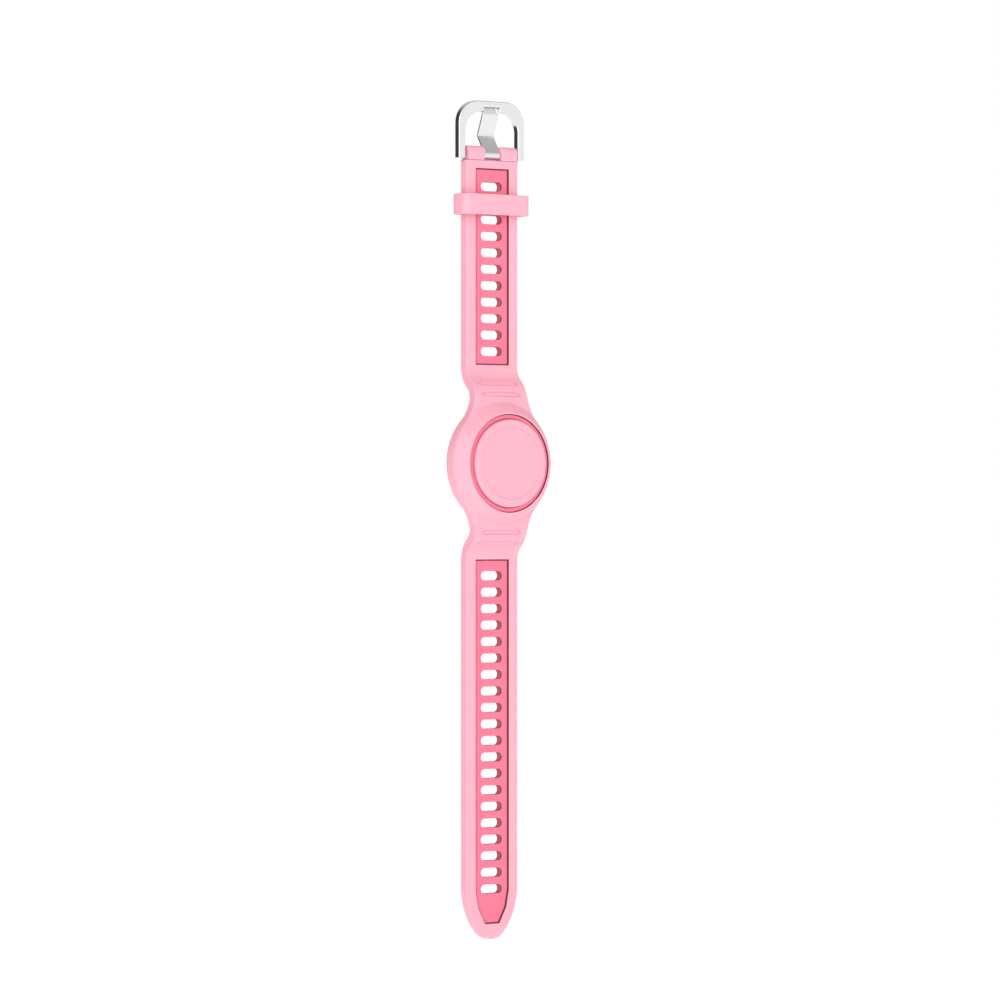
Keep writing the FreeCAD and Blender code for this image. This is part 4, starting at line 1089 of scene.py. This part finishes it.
class Finish:
    """A Principled material, and the node patterns that the finishes below share."""

    def __init__(self, name, roughness, metallic=0.0, specular=0.5):
        self.material = bpy.data.materials.new(name)
        self.material.use_nodes = True
        self.shader = self.material.node_tree.nodes["Principled BSDF"]
        self.roughness = roughness
        self.set(self.shader, **{"Roughness": roughness, "Metallic": metallic, "Specular IOR Level": specular})

    def set(self, node, **values):
        for name, value in values.items():
            node.inputs[name].default_value = value

    def node(self, kind, **values):
        node = self.material.node_tree.nodes.new(kind)
        self.set(node, **values)
        return node

    def link(self, source, target):
        self.material.node_tree.links.new(source, target)

    def noise(self, scale, detail, stretch=None):
        """Noise in the object's own space, with its scale in features per metre."""
        source = self.node("ShaderNodeTexCoord").outputs["Object"]
        if stretch:
            mapping = self.node("ShaderNodeMapping", Scale=stretch)
            self.link(source, mapping.inputs["Vector"])
            source = mapping.outputs["Vector"]
        texture = self.node("ShaderNodeTexNoise", Scale=scale, Detail=detail, Roughness=0.5)
        self.link(source, texture.inputs["Vector"])
        return texture.outputs["Fac"]

    def ranged(self, source, low, high):
        """The noise's usual span, 0.3 to 0.7, carried over to low and high."""
        node = self.node("ShaderNodeMapRange", **{"From Min": 0.3, "From Max": 0.7})
        self.set(node, **{"To Min": low, "To Max": high})
        self.link(source, node.inputs["Value"])
        return node.outputs["Result"]

    def colour(self, source, first, second):
        mix = self.node("ShaderNodeMix")
        mix.data_type = "RGBA"
        self.set(mix, A=first, B=second)
        self.link(self.ranged(source, 0, 1), mix.inputs["Factor"])
        self.link(mix.outputs["Result"], self.shader.inputs["Base Color"])

    def gloss(self, source, below, above=0.08):
        """Roughness that strays this far below and above its middle value."""
        strayed = self.ranged(source, self.roughness - below, self.roughness + above)
        self.link(strayed, self.shader.inputs["Roughness"])

    def bump(self, source, depth):
        node = self.node("ShaderNodeBump", Distance=depth, Strength=1.0)
        self.link(source, node.inputs["Height"])
        self.link(node.outputs["Normal"], self.shader.inputs["Normal"])


def silicone(name, colour, shade):
    """Soft-touch silicone: faint mottling, a fine moulded grain, and a dusty bloom at grazing angles."""
    finish = Finish(name, 0.52, specular=0.35)
    finish.colour(finish.noise(160.0, 3.0), colour, shade)
    grain = finish.noise(5200.0, 2.0)
    finish.gloss(grain, 0.06)
    finish.bump(grain, 0.000012)
    finish.set(finish.shader, **{"Sheen Weight": 0.12, "Sheen Roughness": 0.45})
    return finish.material


def brushed_steel(name, colour, roughness=0.21):
    """Satin steel: fine scratches along the strap's width and slight cloudiness in its gloss."""
    finish = Finish(name, roughness, metallic=1.0)
    lines = finish.noise(900.0, 3.0, stretch=(0.08, 1.0, 5.0))
    cloud = finish.noise(300.0, 2.0)
    finish.colour(lines, colour, tuple(c * 0.94 for c in colour[:3]) + (1.0,))
    finish.gloss(cloud, 0.05)
    finish.bump(lines, 0.000001)
    return finish.material


def moulded(name, colour, shade, roughness=0.4, grain_scale=3000.0, depth=0.000008, metallic=0.0):
    """A hard material with faint clouds in its colour and a grain in its gloss and surface."""
    finish = Finish(name, roughness, metallic)
    finish.colour(finish.noise(400.0, 2.0), colour, shade)
    grain = finish.noise(grain_scale, 2.0)
    finish.gloss(grain, 0.05)
    finish.bump(grain, depth)
    return finish.material


LIGHT_PINK = silicone("light silicone", srgb(255, 181, 198), srgb(252, 177, 194))
# painted shade: a darker pink for the slots' walls in strap and inlay
SLOT_SHADE_PINK = silicone("painted shade in the slots", srgb(206, 112, 132), srgb(198, 106, 126))
# painted shade: a darker pink for the flex grooves' walls
GROOVE_SHADE_PINK = silicone("painted shade in the grooves", srgb(243, 160, 182), srgb(238, 155, 177))
# painted shade: very dark pink for the rim and wall round the inlay's recess and the pocket's lip
SEAM_SHADE_PINK = silicone("painted shade in the seam", srgb(124, 46, 68), srgb(116, 42, 63))
DARK_PINK = silicone("dark silicone", srgb(252, 128, 156), srgb(248, 123, 151))
SILICONE = [LIGHT_PINK, SEAM_SHADE_PINK, GROOVE_SHADE_PINK, SLOT_SHADE_PINK]
INLAY_SILICONE = [DARK_PINK, SLOT_SHADE_PINK]
HOUSING = moulded("housing plastic", srgb(252, 126, 155), srgb(248, 121, 150), 0.42)
CAP = moulded("cap plastic", srgb(255, 180, 197), srgb(252, 176, 193), 0.45)
# painted shade: a darker pink on the face of the dish's step
CAP_STEP_SHADE = moulded("painted shade on the cap's step", srgb(240, 160, 182), srgb(234, 154, 176), 0.5)
# painted shade: dark pink on the module shell's inner wall round the cap
JOINT_SHADE = moulded("painted shade in the joint", srgb(150, 62, 86), srgb(140, 56, 80), 0.6)
STEEL = brushed_steel("brushed steel", srgb(238, 238, 240))
BAR_STEEL = brushed_steel("turned steel", srgb(200, 201, 205), 0.22)
SCREW_STEEL = brushed_steel("screw steel", srgb(170, 172, 178), 0.3)
RUBBER = moulded("seal rubber", srgb(45, 45, 48), srgb(35, 35, 38), 0.6)
LAMINATE = moulded("board laminate", srgb(24, 92, 62), srgb(18, 78, 52), 0.35, 2000.0)
CHIP = moulded("chip epoxy", srgb(34, 34, 37), srgb(27, 27, 30), 0.5, 6000.0)
CAN = moulded("can steel", srgb(196, 197, 200), srgb(176, 177, 181), 0.28, 2500.0, 0.000004, 1.0)
CERAMIC = moulded("ceramic", srgb(232, 230, 224), srgb(222, 219, 212), 0.35)
SWITCH = moulded("switch metal", srgb(206, 204, 198), srgb(188, 186, 181), 0.3, 2500.0, 0.000004, 1.0)
GOLD = moulded("gold plate", srgb(222, 180, 100), srgb(205, 160, 84), 0.25, 2500.0, 0.000004, 1.0)

NODE_MATERIALS = (
    (HOUSING, ("module_housing", "module_rear_case", "battery_door")),
    (RUBBER, ("case_seal_ring", "door_seal_ring", "button_gasket")),
    (SCREW_STEEL, ("housing_screws",)),
    (LAMINATE, ("circuit_board",)),
    (CHIP, ("processor_chip", "memory_chip", "accelerometer_chip")),
    (CAN, ("crystal", "vibration_motor", "coin_cell")),
    (CERAMIC, ("chip_antenna",)),
    (SWITCH, ("tact_switch",)),
    (GOLD, ("battery_contact_negative", "battery_contact_positive")),
    (BAR_STEEL, ("spring_bar_tube", "spring_bar_spring", "spring_bar_tip_left", "spring_bar_tip_right")),
)
for node_material, node_names in NODE_MATERIALS:
    for node_name in node_names:
        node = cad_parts[node_name]
        for node_slot in node.material_slots:
            node_slot.material = node_material
        if not node.material_slots:
            node.data.materials.append(node_material)


# ---- putting the pieces together -------------------------------------------------------------------


TAIL_SPLITS = (66.5, 91.5)
silicone_pieces = cut_into_pieces(
    mesh_object("band", *build_band().welded(), SILICONE),
    [
        ("strap_buckle", NECK_END_OF[1], 200),
        ("neck_buckle", NECK_CUT, NECK_END_OF[1]),
        ("pod_pocket", -NECK_CUT, NECK_CUT),
        ("neck_tail", -NECK_END_OF[-1], -NECK_CUT),
        ("strap_tail_near", -TAIL_SPLITS[0], -NECK_END_OF[-1]),
        ("strap_tail_middle", -TAIL_SPLITS[1], -TAIL_SPLITS[0]),
        ("strap_tail_end", -200, -TAIL_SPLITS[1]),
    ],
    SILICONE,
)
knuckle = make_piece("strap_knuckle", build_knuckle(), [LIGHT_PINK])
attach(knuckle, "buckle_strap_b")

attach(silicone_pieces["pod_pocket"], "pod")
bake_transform(silicone_pieces["neck_buckle"])
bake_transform(silicone_pieces["neck_tail"])
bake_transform(silicone_pieces["strap_buckle"])
TAIL_BLENDS = (
    ("near", "tail_strap_a", "tail_strap_b", 41.5, 61.5),
    ("middle", "tail_strap_b", "tail_strap_c", 66.5, 86.5),
    ("end", "tail_strap_c", "tail_strap_d", 91.5, 111.5),
)
for part, first_body, second_body, first, last in TAIL_BLENDS:
    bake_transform(silicone_pieces[f"strap_tail_{part}"])
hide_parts("pod_holder")
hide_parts("buckle_strap_inner", "buckle_strap_outer")
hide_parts("tail_strap_1", "tail_strap_2")
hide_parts("tail_strap_3")
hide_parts("tail_strap_4")



def inlay_pieces(side, rows, cells, width_at, cuts):
    whole = mesh_object("inlay", *build_inlay(side, rows, cells, width_at).welded(), INLAY_SILICONE)
    return cut_into_pieces(whole, cuts, INLAY_SILICONE)


buckle_cuts = [("inlay_buckle", 0, 200)]
buckle_inlay = inlay_pieces(1, BUCKLE_ROWS, BUCKLE_CELLS, full_width, buckle_cuts)["inlay_buckle"]
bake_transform(buckle_inlay)
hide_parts("buckle_inlay_inner", "buckle_inlay_outer")
tail_cuts = [
    ("inlay_tail_near", -TAIL_SPLITS[0], 0),
    ("inlay_tail_middle", -TAIL_SPLITS[1], -TAIL_SPLITS[0]),
    ("inlay_tail_end", -200, -TAIL_SPLITS[1]),
]
tail_inlays = inlay_pieces(-1, TAIL_ROWS, TAIL_CELLS, recess_half, tail_cuts)
for part, first_body, second_body, first, last in TAIL_BLENDS:
    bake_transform(tail_inlays[f"inlay_tail_{part}"])
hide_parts("tail_inlay_1", "tail_inlay_2")
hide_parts("tail_inlay_3")
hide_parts("tail_inlay_4")

keeper = make_piece("keeper", build_keeper(), [LIGHT_PINK])
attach(keeper, "keeper")
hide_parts("keeper_loop")

tongue = make_piece("tongue", build_tongue(), [STEEL])
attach(tongue, "tongue")
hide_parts("buckle_tongue")

buckle = cut_rest(make_piece("buckle", build_buckle(), [STEEL], 35))
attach(buckle, "buckle")
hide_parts("buckle_frame")

CAP_RAISE = 0.6  # the cap stands this much prouder than the frame's
CAP_RADIUS, CAP_TOP = 13.33, node_box("face_button")[1].y + CAP_RAISE
DISH_RADIUS, DISH_EDGE, DISH_DEPTH = 10.8, 11.0, 0.15
CAP_PROFILE = softened(
    [
        (0.001, CAP_TOP - DISH_DEPTH),
        (DISH_RADIUS, CAP_TOP - DISH_DEPTH, 0.04),
        (DISH_EDGE, CAP_TOP, 0.06),
        (CAP_RADIUS, CAP_TOP, 0.75),
        (CAP_RADIUS, 10.7),
        (13.8, 10.7, 0.08),
        (13.8, 10.2),
        (11.2, 10.2),
        (11.2, 11.1),
        (1.5, 11.1),
        (1.5, 9.45),
        (0.001, 9.45),
    ],
    steps=6,
)
DISH_STEP_SHADE = (DISH_RADIUS - 0.1, DISH_EDGE - 0.01)  # the step's own face, which gets painted shade
cap_shade_kinds = [1 if DISH_STEP_SHADE[0] < radius < DISH_STEP_SHADE[1] and up > 12 else 0 for radius, up in CAP_PROFILE]
cap = lathe("face_cap_shell", CAP_PROFILE, [CAP, CAP_STEP_SHADE], cap_shade_kinds)
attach(cap, "face_cap")
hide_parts("face_button")

MODULE_LOW, MODULE_HIGH = node_box("module_housing")
SHELL_PROFILE = softened(
    [
        (MODULE_HIGH.x, MODULE_LOW.y),
        (MODULE_HIGH.x, MODULE_HIGH.y, 0.3),
        (13.45, MODULE_HIGH.y, 0.25),
        (13.45, 10.75),
        (13.9, 10.75),
        (13.9, 9.4),
        (3.7, 9.4),
        (3.7, 8.8),
        (13.9, 8.8),
        (13.9, MODULE_LOW.y),
        (MODULE_HIGH.x, MODULE_LOW.y),
    ],
    steps=5,
)
# the joint round the cap is the profile's inner wall, and gets painted shade
shell_shade_kinds = [1 if radius < 13.6 and up > 10.8 else 0 for radius, up in SHELL_PROFILE]
module_shell = lathe("module_front_shell", SHELL_PROFILE, [HOUSING, JOINT_SHADE], shell_shade_kinds)
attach(module_shell, "module")
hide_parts("module_housing")


# ---- floor, light and camera -----------------------------------------------------------------------

FLOOR_RADIUS, FLOOR_GLOW = 0.6, 0.8
WORLD_FRONT, WORLD_BACK, WORLD_TOP, WORLD_LEFT = 1.0, 0.85, 0.42, 2.1
FLAG_DIRECTION, FLAG_LEVEL, FLAG_START, FLAG_END = (-0.606, 0.7955, 0.0), 0.05, 0.5, 0.86


def make_floor():
    """A plain pale disc under the tail's tip."""
    work = bmesh.new()
    bmesh.ops.create_circle(work, cap_ends=True, segments=96, radius=FLOOR_RADIUS)
    mesh = bpy.data.meshes.new("floor")
    work.to_mesh(mesh)
    work.free()
    floor = bpy.data.objects.new("floor", mesh)
    floor.location = (0, 0, -TAIL_END * MM - 0.0002)
    bpy.context.scene.collection.objects.link(floor)
    pale = Finish("pale floor", 0.9)
    grey, white = (0.4, 0.4, 0.4, 1), (1, 1, 1, 1)
    pale.set(pale.shader, **{"Base Color": grey, "Emission Color": white, "Emission Strength": FLOOR_GLOW})
    mesh.materials.append(pale.material)


def make_world():
    """White studio walls: bright in front and brightest at the left, dimmer overhead and below, and a dark
    flag behind the left. The walls are plain white where they are seen as the backdrop."""
    world = bpy.data.worlds.new("studio")
    bpy.context.scene.world = world
    world.use_nodes = True
    nodes, links = world.node_tree.nodes, world.node_tree.links
    background = nodes["Background"]
    place = nodes.new("ShaderNodeTexCoord")

    def facing(direction, low, high, start, end):
        dot = nodes.new("ShaderNodeVectorMath")
        dot.operation = "DOT_PRODUCT"
        dot.inputs[1].default_value = Vector(direction).normalized()
        links.new(place.outputs["Generated"], dot.inputs[0])
        node = nodes.new("ShaderNodeMapRange")
        node.interpolation_type = "SMOOTHSTEP"
        node.inputs["From Min"].default_value = start
        node.inputs["From Max"].default_value = end
        node.inputs["To Min"].default_value = low
        node.inputs["To Max"].default_value = high
        links.new(dot.outputs["Value"], node.inputs["Value"])
        return node.outputs["Result"]

    def times(first, second):
        node = nodes.new("ShaderNodeMath")
        node.operation = "MULTIPLY"
        links.new(first, node.inputs[0])
        links.new(second, node.inputs[1])
        return node.outputs["Value"]

    above = facing((0, 0, 1), 1.0, WORLD_TOP, 0.1, 0.95)
    below = facing((0, 0, -1), 1.0, WORLD_TOP, 0.1, 0.95)
    flag = facing(FLAG_DIRECTION, 1.0, FLAG_LEVEL, FLAG_START, FLAG_END)
    front = facing((0, -1, 0), WORLD_BACK, WORLD_FRONT, -0.6, 0.8)
    left = facing((-0.95, -0.3, 0), 1.0, WORLD_LEFT, 0.35, 0.9)
    light = times(times(times(above, below), left), times(flag, front))
    seen = nodes.new("ShaderNodeLightPath")
    mix = nodes.new("ShaderNodeMix")
    mix.inputs["B"].default_value = 1.0
    links.new(seen.outputs["Is Camera Ray"], mix.inputs["Factor"])
    links.new(light, mix.inputs["A"])
    links.new(mix.outputs["Result"], background.inputs["Strength"])
    background.inputs["Color"].default_value = (1, 1, 1, 1)


def make_key():
    """One soft light, up at the front left."""
    light = bpy.data.lights.new("key", "AREA")
    light.shape = "DISK"
    light.size, light.energy = 0.35, 0.8
    key = bpy.data.objects.new("key", light)
    key.location = (-0.5, -0.8, 0.55)
    key.rotation_euler = (-key.location).to_track_quat("-Z", "Y").to_euler()
    bpy.context.scene.collection.objects.link(key)


def make_camera():
    azimuth, distance, aside, height = math.radians(-37.3), 1.54, 0.00426, -0.0165
    back = Vector((math.sin(azimuth), -math.cos(azimuth), 0))
    right = Vector((math.cos(azimuth), math.sin(azimuth), 0))
    data = bpy.data.cameras.new("camera")
    data.sensor_width = 36
    data.lens = 182.5
    data.shift_y = 0.018
    camera = bpy.data.objects.new("camera", data)
    camera.location = back * distance + right * aside + Vector((0, 0, height))
    camera.rotation_euler = (-back).to_track_quat("-Z", "Y").to_euler()
    bpy.context.scene.collection.objects.link(camera)
    bpy.context.scene.camera = camera


make_floor()
make_world()
make_key()
make_camera()
bpy.context.scene.view_settings.view_transform = "Standard"
